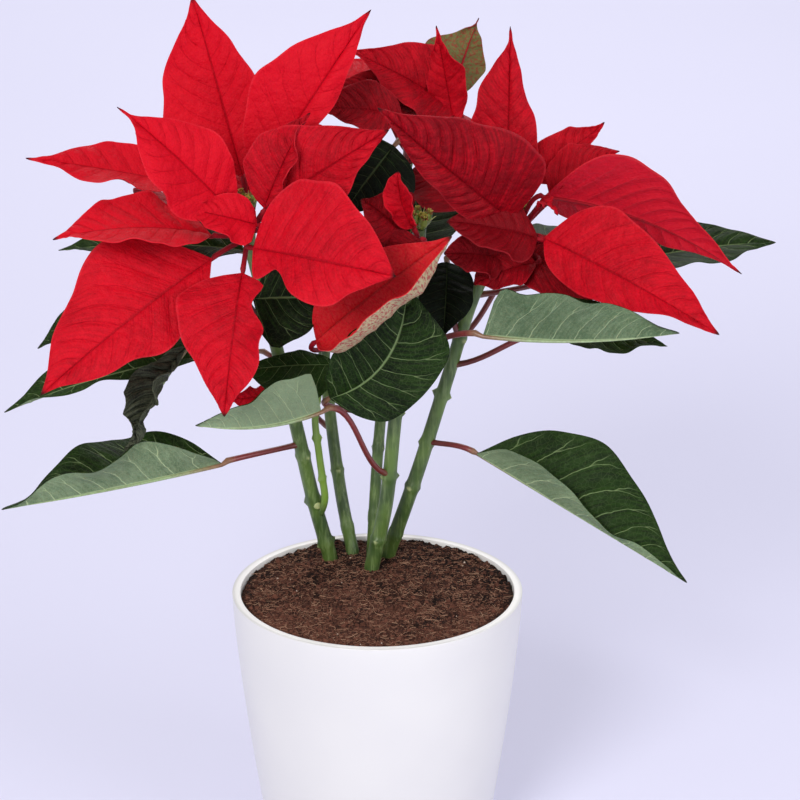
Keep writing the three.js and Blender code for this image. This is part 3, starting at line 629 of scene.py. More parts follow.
# %% Stems: lines
STEMS = {
    "left": {
        "path": [(-19, 41, 82), (-24, 38, 131), (-32, 34, 164),
                 (-39, 24, 204), (-49, 8, 258), (-58, -4, 303)],
        "radius": (3.7, 2.8), "nodes": [139, 163, 188, 222, 262], "head": (-59, -8, 320),
    },
    "rear_left": {
        "path": [(-10, 44, 82), (-13, 46, 131), (-18, 52, 155),
                 (-23, 60, 190), (-28, 72, 238), (-33, 82, 292)],
        "radius": (3.2, 2.5), "nodes": [142, 170, 205, 246], "head": (-34, 85, 306),
    },
    "middle": {
        "path": [(-6, 25, 82), (-3, 24, 131), (4, 22, 165), (8, 20, 204), (13, 16, 256), (19, 10, 296)],
        "radius": (3.7, 2.7), "nodes": [146, 180, 214, 250], "head": (20, 7, 308),
    },
    "rear": {
        "path": [(-5, 39, 82), (-3, 42, 131), (-1, 48, 168), (1, 54, 194), (7, 68, 255), (14, 77, 318)],
        "radius": (2.9, 2.4), "nodes": [150, 184, 228, 272], "head": (17, 77, 338),
    },
    "right": {
        "path": [(4, 43, 82), (5, 41, 131), (19, 38, 174), (33, 36, 222), (48, 32, 272), (60, 27, 294)],
        "radius": (3.7, 2.9), "nodes": [142, 168, 192, 217, 246], "head": (64, 24, 309),
    },
    "shoot": {
        "path": [(-29, 35, 153), (-26, 30.5, 164), (-27, 29, 176),
                 (-28.5, 27, 190), (-30, 25.5, 210), (-25, 22, 234)],
        "radius": (1.9, 1.6), "nodes": [176, 198, 217], "head": (-24, 18, 250),
    },
}
STEM_FOOT = 131
NODE_SWELLING = 0.1
NODE_SPREAD = 2.0
RING_STEP = 1.1


def smooth_line(points, count=400):
    """A centripetal curve through the points, sampled evenly by its parameter."""
    points = np.array(points, float)
    first = 2 * points[0] - points[1]
    last = 2 * points[-1] - points[-2]
    knots = np.vstack([first, points, last])
    line = []
    for i in range(len(points) - 1):
        p = knots[i:i + 4]
        gaps = np.linalg.norm(np.diff(p, axis=0), axis=1) ** 0.5
        t = np.concatenate([[0], np.cumsum(gaps)])
        at = np.linspace(t[1], t[2], count // (len(points) - 1), endpoint=i == len(points) - 2)[:, None]

        def between(first, last, start, end):
            return (last - at) / (last - first) * start + (at - first) / (last - first) * end

        a = [between(t[k], t[k + 1], p[k], p[k + 1]) for k in range(3)]
        b = [between(t[k], t[k + 2], a[k], a[k + 1]) for k in range(2)]
        line.append(between(t[1], t[2], b[0], b[1]))
    return np.vstack(line)


def evenly(line, step):
    """The same line with points a step apart."""
    gone = np.concatenate([[0], np.cumsum(np.linalg.norm(np.diff(line, axis=0), axis=1))])
    count = max(4, int(round(gone[-1] / step)) + 1)
    at = np.linspace(0, gone[-1], count)
    return np.stack([np.interp(at, gone, line[:, k]) for k in range(3)], axis=1)


def stem_line(name):
    """The stem's line: straight up through the soil, then a smooth curve to the collar's foot."""
    stem = STEMS[name]
    curve = smooth_line(stem["path"][0 if name == "shoot" else 1:])
    start = [] if name == "shoot" else [stem["path"][0]]
    return np.vstack([*start, curve])


def at_height(line, height):
    """The point of a rising line at a height."""
    return np.array([np.interp(height, line[:, 2], line[:, k]) for k in range(3)])

# %% [markdown]
# `rod` is the tool for anything long and round: stems, stalks, the collars of the flower heads. The side
# edges of a cylinder are subdivided into rings. A frame carried along the line keeps the rings from
# twisting, and a radius for each ring gives swellings and tapers.

# %% The rod tool
def carried_frames(line):
    """Two directions across the line at each point, turning as little as possible."""
    ahead = np.gradient(line, axis=0)
    ahead /= np.linalg.norm(ahead, axis=1)[:, None]
    start = np.array([1.0, 0, 0]) if abs(ahead[0, 0]) < 0.9 else np.array([0, 1.0, 0])
    across = []
    for direction in ahead:
        start = start - direction * start.dot(direction)
        start /= np.linalg.norm(start)
        across.append(start)
    across = np.array(across)
    return across, np.cross(ahead, across)


def rod(name, line, radii, sides=12):
    """A closed round rod along a line, in millimetres. Returns it with each vertex's ring and way out."""
    bpy.ops.mesh.primitive_cylinder_add(vertices=sides, radius=1, depth=1)
    piece = bpy.context.object
    piece.name = name
    bpy.ops.object.mode_set(mode="EDIT")
    bpy.ops.mesh.select_mode(type="EDGE")
    bpy.ops.mesh.select_all(action="DESELECT")
    bpy.ops.object.mode_set(mode="OBJECT")
    points = places_of(piece)
    for edge in piece.data.edges:
        low, high = edge.vertices
        edge.select = abs(points[low, 2] - points[high, 2]) > 0.5
    bpy.ops.object.mode_set(mode="EDIT")
    bpy.ops.mesh.subdivide(number_cuts=len(line) - 2)
    bpy.ops.object.mode_set(mode="OBJECT")
    points = places_of(piece)
    ring = np.rint((points[:, 2] + 0.5) * (len(line) - 1)).astype(int)
    across, up = carried_frames(line)
    out = across[ring] * points[:, :1] + up[ring] * points[:, 1:2]
    put_vertices(piece, (line[ring] + out * np.asarray(radii)[ring][:, None]) * MM)
    return piece, ring, out

# %% Stems: bodies with scars
SCAR_OUT = 2.0
SCAR_ABOVE, SCAR_BELOW = 1.1 * 0.6, 1.1 * 1.5
SCAR_HALF_TURN = 0.36
SCAR_OPPOSITE = {"share": 0.8, "half_turn": 0.3}
SCAR_RING = {"share": 0.15, "height": 0.7}
FULL_STEM_RADIUS = 3.7
FIRST_SCAR_TURN, SCAR_TURN_STEP = 0.6, 1.9
YOUNG_FROM, YOUNG_RISE = 156, 10
GOLDEN_TURN = math.radians(137.5)


def stem_radii(stem, line):
    """The stem's radius along its line, swollen at the nodes."""
    low, high = stem["radius"]
    share = np.clip((line[:, 2] - STEM_FOOT) / (line[-1, 2] - STEM_FOOT), 0, 1)
    swelling = sum(np.exp(-(((line[:, 2] - node) / NODE_SPREAD) ** 2)) for node in stem["nodes"])
    return (low + (high - low) * share) * (1 + NODE_SWELLING * swelling)


def add_scars(piece, line, ring, out, stem, first_turn):
    """Push a shelf out of the stem at each node, with a lesser one opposite, and paint them."""
    points = places_of(piece) / MM
    level = line[ring, 2]
    facing = np.arctan2(out[:, 1], out[:, 0])
    scar = np.zeros(len(points))
    for i, node in enumerate(stem["nodes"]):
        turn = first_turn + i * GOLDEN_TURN
        off = np.angle(np.exp(1j * (facing - turn)))
        rise = level - node
        falling = (rise / np.where(rise > 0, SCAR_ABOVE, SCAR_BELOW)) ** 2
        opposite = (abs(off) - math.pi) / SCAR_OPPOSITE["half_turn"]
        scar = np.maximum(scar, np.exp(-falling - (off / SCAR_HALF_TURN) ** 2))
        scar = np.maximum(scar, SCAR_OPPOSITE["share"] * np.exp(-falling - opposite**2))
        scar = np.maximum(scar, SCAR_RING["share"] * np.exp(-((rise / SCAR_RING["height"]) ** 2)))
    size = min(1.0, stem["radius"][0] / FULL_STEM_RADIUS)
    points += out * (SCAR_OUT * size * scar)[:, None]
    put_vertices(piece, points * MM)
    paint(piece, "scar", scar)
    young = np.clip((level - YOUNG_FROM) / YOUNG_RISE, 0, 1)
    paint(piece, "young", young if stem is STEMS["shoot"] else 0.0)


stem_pieces = {}
for i, (name, stem) in enumerate(STEMS.items()):
    line = evenly(stem_line(name), RING_STEP)
    piece, ring, out = rod(f"stem_{name}_green", line, stem_radii(stem, line), sides=20)
    add_scars(piece, line, ring, out, stem, FIRST_SCAR_TURN + i * SCAR_TURN_STEP)
    smooth(piece, degrees=70)
    stem_pieces[name] = piece
print("stems", len(stem_pieces), "rings a stem about", len(line))

# %% [markdown]
# Where an older shoot was once cut off, the left stem shows a small round pale scar. It is a short rod
# set into the stem's side, and it narrows towards its end.

# %% Stems: the cut scar
CUT_SCAR = {
    "height": 160.0, "towards": (0.42, -0.9, 0.1), "radii": [2.1, 1.8, 1.4],
    "stands_out": 0.6, "round": 0.3, "paleness": 1.3,
}

middle = at_height(stem_line("left"), CUT_SCAR["height"])
outwards = np.array(CUT_SCAR["towards"])
reach = STEMS["left"]["radius"][0] + CUT_SCAR["stands_out"]
line = middle + np.outer([1.0, reach - CUT_SCAR["round"], reach], outwards)
cut_scar, ring, _ = rod("cut_scar", line, CUT_SCAR["radii"], sides=16)
paint(cut_scar, "scar", np.where(ring == 0, 0.0, CUT_SCAR["paleness"]))
paint(cut_scar, "young", 0.0)
smooth(cut_scar, degrees=50)

# %% [markdown]
# ## Blades
# Leaves and bracts are one kind of thing: a blade with a midrib, side veins that sweep forward, and a
# waved margin. Each is written as a row: where its stalk leaves the stem, the blade's base and tip,
# where its upper face looks, its width, and what is special about its shape. A sculpted blade would
# be richer, but sixty of them need a rule, and the rule keeps each on its plain solid.

# %% Blades: the outlines
OUTLINE_AT = np.array([0, 0.1, 0.24, 0.42, 0.6, 0.77, 0.9, 1])
OUTLINES = {
    "ovate": [0, 0.5, 0.88, 1, 0.84, 0.5, 0.17, 0],
    "lobed": [0, 0.4, 0.76, 1, 0.7, 0.46, 0.18, 0],
    "spiked": [0, 0.45, 0.8, 1, 0.88, 0.42, 0.08, 0],
    "heart": [0, 0.68, 0.97, 0.98, 0.76, 0.44, 0.16, 0],
    "drop": [0, 0.8, 1, 0.84, 0.54, 0.27, 0.1, 0],
    "broad": [0, 0.62, 0.94, 1, 0.92, 0.66, 0.3, 0],
    "late": [0, 0.46, 0.86, 0.95, 1, 0.9, 0.36, 0],
    "pinched": [0, 0.72, 0.44, 0.95, 1, 0.62, 0.22, 0],
    "blunt": [0, 0.9, 1, 0.96, 0.8, 0.52, 0.2, 0],
    "tapered": [0, 0.85, 1, 0.64, 0.34, 0.2, 0.1, 0],
}
BLADE = {
    "outline": ("ovate", "ovate"), "full": (1, 1), "fold": (12, 12), "curl": (0, 0),
    "arch": 4, "bow": 0, "hook": 0, "wave": 1.2, "waves": 2.5, "phase": 0,
    "veins": 9, "pucker": 0.8, "sway": 1.7, "ragged": 0.045, "tone": 0.5, "green": 0,
}


def blade(name, foot, base, tip, face, width, **shape):
    """A blade's row. foot is a height on the stem, or for a bract a share of the collar."""
    row = {**BLADE, "name": name, "foot": foot, "width": width, **shape}
    row["base"], row["tip"], row["face"] = (np.array(p, float) for p in (base, tip, face))
    return row


LEAVES = {
    "left": [
        blade("inner_left", 262, (-57, -3, 277), (-13, 5, 274), (-0.1, -0.9, 0.5), 42,
              outline=("ovate", "drop"), full=(1, 1.2), arch=3),
        blade("low_left", 194.5, (-74, 0, 195), (-174, -30, 183), (0, 0.4, 1), 54,
              fold=(46, 52), full=(0.8, 1.1), wave=4, waves=2.2, phase=-2.82, arch=-1),
        blade("withered", 262, (-88, -4, 254), (-117, -16, 205), (-0.5, -1, 0.4), 23,
              fold=(30, 20), curl=(30, 30), wave=2.5, waves=3.5),
        blade("left_tip", 236, (-80, 16, 243), (-174, -8, 223), (-0.2, -0.6, 1), 46,
              full=(0.3, 1), wave=1.5, arch=5),
        blade("left_rear", 280, (-62, 30, 291), (-150, 26, 292), (-0.1, -0.3, 1), 44, arch=3),
    ],
    "rear_left": [
        blade("rear_side", 190, (-62, 92, 222), (-128, 112, 208), (-0.1, 0.3, 1), 54, arch=8),
        blade("left_behind", 246, (-98, 46, 268), (-162, 24, 244), (-0.2, -0.5, 1), 36, arch=4),
    ],
    "middle": [
        blade("centre_left", 222, (-18, 8, 241), (-65, 4, 239), (0.1, -0.8, 0.8), 46,
              full=(0.95, 0.3), arch=3),
        blade("front_left", 181, (-26, -10, 225), (-82, -40, 228), (0, 0.6, 1), 46,
              outline=("blunt", "drop"), fold=(38, 35), full=(1.15, 0.6), wave=1.5, arch=-4),
        blade("front_centre", 214, (-22, -6, 229), (14, -20, 288), (0.1, -1, 0.3), 50,
              outline=("broad", "late"), arch=5, bow=11, full=(0.86, 0.98)),
        blade("front_right", 248, (49, -16, 264), (136, -40, 272), (0, 0.4, 1), 50,
              outline=("heart", "blunt"), fold=(52, 50), full=(1, 1.06), arch=-3),
    ],
    "rear": [
        blade("rear_low", 215, (14, 98, 238), (34, 156, 230), (0.1, 0.4, 1), 54, arch=8),
        blade("rear_high", 228, (3, 80, 266), (48, 110, 309), (-0.2, -0.5, 1), 58, arch=6),
        blade("inner_dark", 272, (8, 36, 340), (-17, 10, 312), (0.2, -0.8, 0.6), 42,
              full=(1, 1.1), arch=3),
    ],
    "right": [
        blade("low_right", 192, (48, 20, 192), (148, -12, 138), (0, -0.95, 0.33), 66,
              outline=("ovate", "tapered"), fold=(0, 130), full=(1.05, 0.56), arch=-2, wave=1.6),
        blade("right_under", 232, (84, 22, 253), (137, 12, 249), (0, -0.35, 1), 26,
              fold=(5, 5), arch=2),
        blade("inner_right", 246, (33, 27, 286), (31, 2, 257), (0.1, -1, 0.2), 26,
              outline=("broad", "late"), arch=3),
        blade("right_tip", 268, (112, 44, 279), (193, 58, 287), (0, -0.4, 1), 40, arch=3),
        blade("right_rear", 246, (72, 70, 278), (120, 104, 272), (0.2, 0.4, 1), 50, arch=8),
    ],
}
BRACTS = {
    "left": [
        blade("low_left", 0.05, (-74, -20, 301), (-148, -62, 250), (-0.2, -1, 0.5), 60,
              full=(0.75, 1.22), fold=(0, 8), arch=5, outline=("lobed", "lobed")),
        blade("low_front", 0.1, (-60, -26, 296), (-67, -62, 240), (-0.1, -1, 0.35), 46,
              full=(0.65, 1.12), outline=("pinched", "heart")),
        blade("mid_right", 0.25, (-55, -28, 308), (9, -60, 304), (0.1, -1, 0.35), 54,
              full=(1.25, 0.72), outline=("broad", "pinched")),
        blade("mid_left", 0.35, (-74, -20, 312), (-141, -50, 318), (0, -0.4, 1), 42, arch=5),
        blade("rear_left", 0.45, (-78, 4, 328), (-158, -6, 344), (0, -0.6, 1), 32,
              outline=("spiked", "spiked"), fold=(20, 10), arch=1),
        blade("front_left", 0.6, (-64, -22, 322), (-111, -46, 376), (0.2, -1, 0.6), 36,
              full=(1.15, 1.05), arch=5, outline=("spiked", "spiked")),
        blade("front_right", 0.6, (-48, -16, 324), (6, -20, 360), (0, -1, 0.4), 42,
              outline=("heart", "heart"), full=(1.2, 0.85)),
        blade("upright", 0.75, (-61, 4, 333), (-83, 18, 413), (0, -1, 0.2), 46,
              full=(1.25, 0.86), arch=-4),
        blade("upper_right", 0.8, (-53, 0, 332), (-2, 6, 409), (0, -1, 0.3), 40,
              full=(1.3, 0.5), arch=5),
        blade("front_curl", 0.55, (-50, -20, 324), (-29, -16, 367), (-0.4, -1, 0.2), 22,
              full=(1.5, 0.6), fold=(14, 40), arch=3),
        blade("front_small", 0.45, (-53, -25, 318), (-85, -38, 329), (0, -1, 0.5), 22,
              outline=("blunt", "heart"), arch=2),
        blade("back_low", 0.2, (-72, 14, 309), (-110, 68, 304), (-0.3, 0.4, 1), 56, arch=7),
        blade("back_high", 0.5, (-58, 14, 318), (-68, 64, 336), (0, -0.3, 1), 46, arch=6),
    ],
    "shoot": [
        blade("folded", 1, (-28, -8, 258), (34, -30, 314), (-0.3, -1, 0.6), 40,
              outline=("ovate", "late"), fold=(28, -18), full=(0.95, 1.7), curl=(0, 140), arch=3),
        blade("drooping", 0.3, (-42, 14, 222), (-72, 8, 223), (0, -0.7, 1), 12, arch=2),
    ],
    "middle": [
        blade("dark", 0.3, (13, -6, 308), (-7, -10, 326), (0.5, -1, 0.3), 30,
              outline=("broad", "lobed")),
        blade("curled", 0.7, (17, -9, 312), (10, -15, 340), (-0.5, -1, 0), 15,
              outline=("late", "late"), curl=(60, 20)),
        blade("low", 0.05, (20, -10, 307), (4, -20, 297), (0, -0.6, 1), 16),
    ],
    "rear_left": [
        blade("left", 0.2, (-50, 90, 306), (-104, 104, 318), (-0.2, -0.2, 1), 52, arch=6),
        blade("back", 0.4, (-36, 102, 308), (-46, 158, 318), (0, -0.3, 1), 50, arch=6),
        blade("up", 0.4, (-42, 82, 320), (-50, 80, 364), (0, -1, 0.3), 30),
    ],
    "rear": [
        blade("wide_left", 0.4, (39, 68, 349), (-13, 46, 383), (0.3, -1, 0.6), 40,
              outline=("ovate", "heart"), full=(0.75, 1.05), arch=4),
        blade("shaded_left", 0.1, (24, 58, 348), (-21, 46, 367), (0.3, -0.9, 0.8), 34, arch=4),
        blade("near_left", 0.3, (12, 34, 355), (-28, 22, 361), (0, -1, 0.5), 26,
              outline=("lobed", "broad")),
        blade("upright", 0.6, (37, 66, 342), (28, 60, 392), (0, -1, 0.2), 20,
              outline=("spiked", "spiked"), arch=2),
        blade("turning", 0.85, (35, 82, 351), (49, 92, 390), (-0.1, 1, 0.3), 34,
              outline=("spiked", "spiked"), full=(0.7, 1.15), arch=2),
        blade("back_left", 0.5, (4, 90, 342), (-30, 134, 356), (-0.2, -0.3, 1), 50, arch=6),
        blade("back_right", 0.2, (30, 90, 330), (60, 134, 320), (0.1, -0.2, 1), 46, arch=7),
    ],
    "right": [
        blade("low_dark", 0.1, (62, 15, 291), (116, 11, 276), (0, -0.8, 1), 40,
              full=(0.9, 1.05), arch=5),
        blade("front", 0.2, (77, 4, 304), (154, -40, 271), (-0.1, -1, 0.6), 50,
              outline=("heart", "heart"), full=(1, 0.65), arch=6),
        blade("side", 0.35, (78, 16, 321), (170, 10, 285), (0.2, 1, 0.5), 46,
              outline=("drop", "drop"), full=(0.7, 1.4), fold=(5, 0), arch=10),
        blade("corrugated", 0.3, (62, 2, 313), (1, -34, 373), (-0.3, -1, 0.3), 48,
              outline=("heart", "heart"), full=(0.5, 1.42), arch=5),
        blade("under_left", 0.15, (74, 0, 305), (32, -12, 316), (0, -0.9, 0.8), 34,
              outline=("broad", "lobed"), arch=3),
        blade("under_low", 0.02, (58, 6, 294), (31, -5, 299), (0.2, -1, 0.6), 24,
              outline=("broad", "broad"), arch=3),
        blade("low_turned", 0.08, (74, 8, 291), (45, 2, 282), (0, -0.9, 0.8), 24,
              outline=("lobed", "broad")),
        blade("upright", 0.75, (61, 30, 320), (62, 42, 395), (0, -1, 0.1), 32,
              outline=("spiked", "drop"), full=(1.1, 0.9)),
        blade("hooked", 0.8, (72, 30, 324), (107, 36, 350), (0, -1, 0.8), 22, hook=4, arch=3),
        blade("folded", 0.6, (80, 18, 321), (112, 16, 342), (0, -0.5, 0.9), 30,
              full=(1.1, 0.25), arch=3),
        blade("tiny", 0.5, (75, 8, 318), (83, -1, 316), (0, -0.6, 1), 8),
        blade("back_left", 0.4, (46, 40, 310), (15, 62, 321), (-0.2, -0.8, 1), 40, arch=5),
        blade("back_right", 0.3, (84, 40, 314), (124, 80, 306), (0.2, -0.1, 1), 54, arch=8),
    ],
}

# %% [markdown]
# The outline is a smooth curve through eight widths. The midrib arches between base and tip. Each half
# rises from it by a fold, curls towards the margin, and carries waves that grow towards the edge.

# %% Blades: the surface
# Each uneven lobe of the margin: its height, its turns along the blade, and by the blade's own draw.
MARGIN_LOBES = ((1.0, 10, 9), (0.6, 21, 5))
RIGHT_WAVE_SHIFT = 1.9
HOOK_FROM = 0.75
SHARE_STEP = 0.01


def side_of(across):
    """-1 on the left half of a blade and 1 on the right."""
    return np.where(across < 0, -1, 1)


def onward(place_at, share):
    """How a place moves on along the blade, from just before a share of the length to just after it."""
    return place_at(np.minimum(1, share + SHARE_STEP)) - place_at(np.maximum(0, share - SHARE_STEP))


def outline_value(values, share):
    """Half the width at a share of the length, as a share of the fullest."""
    values = np.array(values, float)
    last = len(values) - 1
    before, after = np.maximum(np.arange(last + 1) - 1, 0), np.minimum(np.arange(last + 1) + 1, last)
    slopes = (values[after] - values[before]) / (OUTLINE_AT[after] - OUTLINE_AT[before])
    i = np.clip(np.searchsorted(OUTLINE_AT, share, side="right") - 1, 0, last - 1)
    gap = OUTLINE_AT[i + 1] - OUTLINE_AT[i]
    t = (share - OUTLINE_AT[i]) / gap
    value = values[i] * (2 * t**3 - 3 * t**2 + 1) + values[i + 1] * (3 * t**2 - 2 * t**3)
    value += gap * (slopes[i] * (t**3 - 2 * t**2 + t) + slopes[i + 1] * (t**3 - t**2))
    return np.maximum(0, value)


def blade_axes(row):
    """Unit directions along the blade, out of its upper face and to its right, and its length."""
    along = row["tip"] - row["base"]
    length = np.linalg.norm(along)
    along = along / length
    face = row["face"] - along * row["face"].dot(along)
    face /= np.linalg.norm(face)
    return along, face, np.cross(along, face), length


def midrib(row, share):
    """Points of the midrib."""
    along, face, right, length = blade_axes(row)
    share = np.asarray(share, float)[:, None]
    rise = 4 * share * (1 - share)
    hook = np.maximum(0, (share - HOOK_FROM) / (1 - HOOK_FROM)) ** 2
    lift = row["arch"] * rise + row["hook"] * hook
    return row["base"] + along * length * share + face * lift + right * row["bow"] * rise


def half_width(row, share, side):
    """The blade's reach from midrib to margin, in millimetres, with its small uneven lobes."""
    full = np.where(side > 0, row["full"][1], row["full"][0])
    start = 7 * row["draw"] + side
    lobes = sum(height * np.sin(along * share + by_draw * start) for height, along, by_draw in MARGIN_LOBES)
    left, right = (outline_value(OUTLINES[kind], share) for kind in row["outline"])
    even = row["width"] / 2 * full * np.where(side > 0, right, left)
    return even * (1 + row["ragged"] * lobes)


def blade_points(row, share, across):
    """Points of the blade's middle surface. across runs from -1 over the midrib, 0, to 1."""
    ahead = onward(lambda at: midrib(row, at), share)
    ahead /= np.linalg.norm(ahead, axis=1)[:, None]
    right = blade_axes(row)[2][None, :]
    right = right - ahead * (ahead * right).sum(axis=1)[:, None]
    right /= np.linalg.norm(right, axis=1)[:, None]
    face = np.cross(right, ahead)
    side = side_of(across)
    out = np.abs(across)
    half = (side > 0).astype(int)
    reach = half_width(row, share, side) * out
    fold = np.radians(np.array(row["fold"], float)[half])
    tilt = fold + np.radians(np.array(row["curl"], float)[half]) * out / 2
    swell = np.sqrt(np.maximum(0, np.sin(np.pi * share)))
    turn = 2 * np.pi * row["waves"] * share + row["phase"] + half * RIGHT_WAVE_SHIFT
    ripple = row["wave"] * out**2 * swell * np.sin(turn)
    sideways = side * (reach * np.cos(tilt) - ripple * np.sin(fold))
    upwards = reach * np.sin(tilt) + ripple * np.cos(fold)
    return midrib(row, share) + right * sideways[:, None] + face * upwards[:, None]

# %% [markdown]
# A grid whose rows run straight across would cut through the side veins. Here the rows themselves
# sweep forward towards the margin, as veins do, so the veins run with the rows and their relief is
# crisp with few faces. The lamina puffs up between the veins and sinks along them.

# %% Blades: veins and relief
VEIN_SWEEP = 0.62
SWEEP_LIMIT = 0.8
SWEEP_GROWTH = 0.3
VEIN_CROWDING = 0.93
RIGHT_VEIN_SHIFT = 0.45
VEIN_DEPTH = 0.2
VEIN_WIDTH = 0.09
GROOVE_FROM, GROOVE_FADING = 0.08, 0.6
PUFF_OUTWARDS = 0.8
MIDRIB_DEPTH = 0.45
MIDRIB_WIDTH = 0.8
MIDRIB_TAPER = 0.7
FLAT_ENDS = 0.12
CALM_ENDS = 0.7
# Each wave of a vein: its height, its turns along the blade and outwards, and by the blade's own draw.
VEIN_WAVES = ((0.12, 7, 0, 9), (0.08, 0, 3, 5))
# Each slow wave: its height, its turns along and across the blade, and by the draw.
SLOW_WAVES = ((1.0, 4.1, 2.3, 11), (0.7, 7.3, -1.9, 17))
# Each quick wave: its height, how steeply it grows outwards, and its turns along, by side and by draw.
QUICK_WAVES = ((0.5, 3, 19, 2.2, 23), (0.3, 4, 37, 1.3, 41))


def swept_share(row, u, across):
    """The share of the length that a grid row reaches at a place across the blade."""
    length = blade_axes(row)[3]
    steps = np.linspace(0, 1, 101)
    kinds = (outline_value(OUTLINES[kind], steps) * full for kind, full in zip(row["outline"], row["full"]))
    narrowing = max(-np.gradient(row["width"] / 2 * kind, steps).min() for kind in kinds) / length
    sweep = min(VEIN_SWEEP, SWEEP_LIMIT / ((1 + SWEEP_GROWTH) * narrowing))
    forward = sweep * half_width(row, u, side_of(across)) / length
    out = np.abs(across)
    return np.clip(u + forward * out * (1 + SWEEP_GROWTH * out), 0, 1)


def vein_count(row, u, across):
    """The number of side veins passed on the way to a place. The veins lie at whole numbers."""
    draw = row["draw"]
    shift = np.where(across > 0, RIGHT_VEIN_SHIFT, 0.0) + draw
    wander = sum(
        height * np.sin(along * u + outwards * np.abs(across) + by_draw * draw)
        for height, along, outwards, by_draw in VEIN_WAVES
    )
    return row["veins"] * u**VEIN_CROWDING + shift + wander


def relief(row, u, across, count):
    """How far the lamina rises over its middle surface, in millimetres."""
    out = np.abs(across)
    off = np.abs(count - np.rint(count))
    from_rib = half_width(row, u, side_of(across)) * out
    ends = np.clip(np.minimum(u, 1 - u) / FLAT_ENDS, 0, 1)
    puff = row["pucker"] * np.sin(np.pi * np.minimum(1, off * 2) / 2) * np.sin(np.pi * out**PUFF_OUTWARDS)
    groove = VEIN_DEPTH * np.exp(-((off / VEIN_WIDTH) ** 2))
    groove *= (1 - out) ** GROOVE_FADING * np.minimum(1, out / GROOVE_FROM)
    rib = MIDRIB_DEPTH * (1 - MIDRIB_TAPER * u) * np.exp(-((from_rib / MIDRIB_WIDTH) ** 2))
    return (puff - groove) * ends - rib


def sway(row, share, across):
    """A slow uneven bending of the whole blade, with quicker waves near its margins, in millimetres."""
    out, side, draw = np.abs(across), np.sign(across), row["draw"]
    slow = sum(
        height * np.sin(along * share + sideways * across + by_draw * draw)
        for height, along, sideways, by_draw in SLOW_WAVES
    )
    quick = sum(
        height * out**growth * np.sin(along * share + by_side * side + by_draw * draw)
        for height, growth, along, by_side, by_draw in QUICK_WAVES
    )
    ends = np.sin(np.pi * share) ** CALM_ENDS
    return row["sway"] * (slow * out + quick) * ends

# %% Blades: making one
ROW_STEP, ROWS = 0.95, (30, 96)
COLUMN_STEP, HALF_COLUMNS = 2.3, (5, 14)
COLUMN_CROWDING = 1.2
ACROSS_STEP = 0.02
NO_SIZE, SMALL_SIZE = 1e-9, 1e-3
BLADE_THICKNESS = 0.45
MAP_UNIT_MM = 10
TONE_SPREAD = 0.08


def count_right_of_midrib(piece, across):
    """On the midrib itself the right half's faces use the right half's count of veins."""
    corner = np.empty(len(piece.data.loops), np.int32)
    piece.data.loops.foreach_get("vertex_index", corner)
    beside = np.repeat(across[corner].reshape(-1, 4).mean(axis=1) > 0, 4)
    flat = np.empty(2 * len(corner), np.float32)
    layer = piece.data.uv_layers["veins"]
    layer.data.foreach_get("uv", flat)
    flat[0::2] += RIGHT_VEIN_SHIFT * (beside & (across[corner] == 0))
    layer.data.foreach_set("uv", flat)


def make_blade(name, row, upper, under):
    """A grid is shaped into the blade, given its thickness, and finished above and below."""
    length = blade_axes(row)[3]
    rows = int(np.clip(length / ROW_STEP, *ROWS))
    columns = 2 * int(np.clip(row["width"] * max(row["full"]) / 2 / COLUMN_STEP, *HALF_COLUMNS))
    bpy.ops.mesh.primitive_grid_add(x_subdivisions=rows, y_subdivisions=columns, size=2)
    piece = bpy.context.object
    piece.name = name
    grid = places_of(piece)
    u = (grid[:, 0] + 1) / 2
    across = np.sign(grid[:, 1]) * np.abs(grid[:, 1]) ** COLUMN_CROWDING
    share = swept_share(row, u, across)
    count = vein_count(row, u, across)
    points = blade_points(row, share, across)
    beside = blade_points(row, share, across + ACROSS_STEP) - blade_points(row, share, across - ACROSS_STEP)
    ahead = onward(lambda at: blade_points(row, at, across), share)
    normal = np.cross(beside, ahead)
    size = np.linalg.norm(normal, axis=1)[:, None]
    steady = np.tile(blade_axes(row)[1], (len(u), 1))
    normal = np.where(size > SMALL_SIZE, normal / np.maximum(size, NO_SIZE), steady)
    lift = relief(row, u, across, count) + sway(row, share, across)
    put_vertices(piece, (points + normal * lift[:, None]) * MM)

    sideways = across * half_width(row, share, side_of(across)) / MAP_UNIT_MM + 3 * row["draw"]
    unwrap(piece, "UVMap", sideways, share * length / MAP_UNIT_MM)
    unwrap(piece, "veins", count, np.abs(across))
    count_right_of_midrib(piece, across)
    paint(piece, "reach", share)
    # The tone is painted light and shade, with a small spread of the blade's own.
    paint(piece, "tone", row["tone"] + TONE_SPREAD * math.sin(31 * row["draw"]))
    paint(piece, "green", row["green"])
    weld(piece)
    facing = sum((Vector(face.normal) * face.area for face in piece.data.polygons), Vector())
    if facing.dot(Vector(blade_axes(row)[1])) < 0:
        piece.data.flip_normals()
    piece.data.materials.append(upper)
    piece.data.materials.append(under)
    modifier = piece.modifiers.new("thickness", "SOLIDIFY")
    modifier.thickness = BLADE_THICKNESS * MM
    modifier.offset = 0
    modifier.material_offset = 1
    modifier.material_offset_rim = 0
    choose(piece)
    bpy.ops.object.modifier_apply(modifier=modifier.name)
    smooth(piece, degrees=45)
    return piece

# %% [markdown]
# A stalk leaves the stem with a swollen foot, bends, and runs on under the blade as its midrib. It is
# one rod from stem to near the tip, so the rib stands out below as it does on a real leaf.

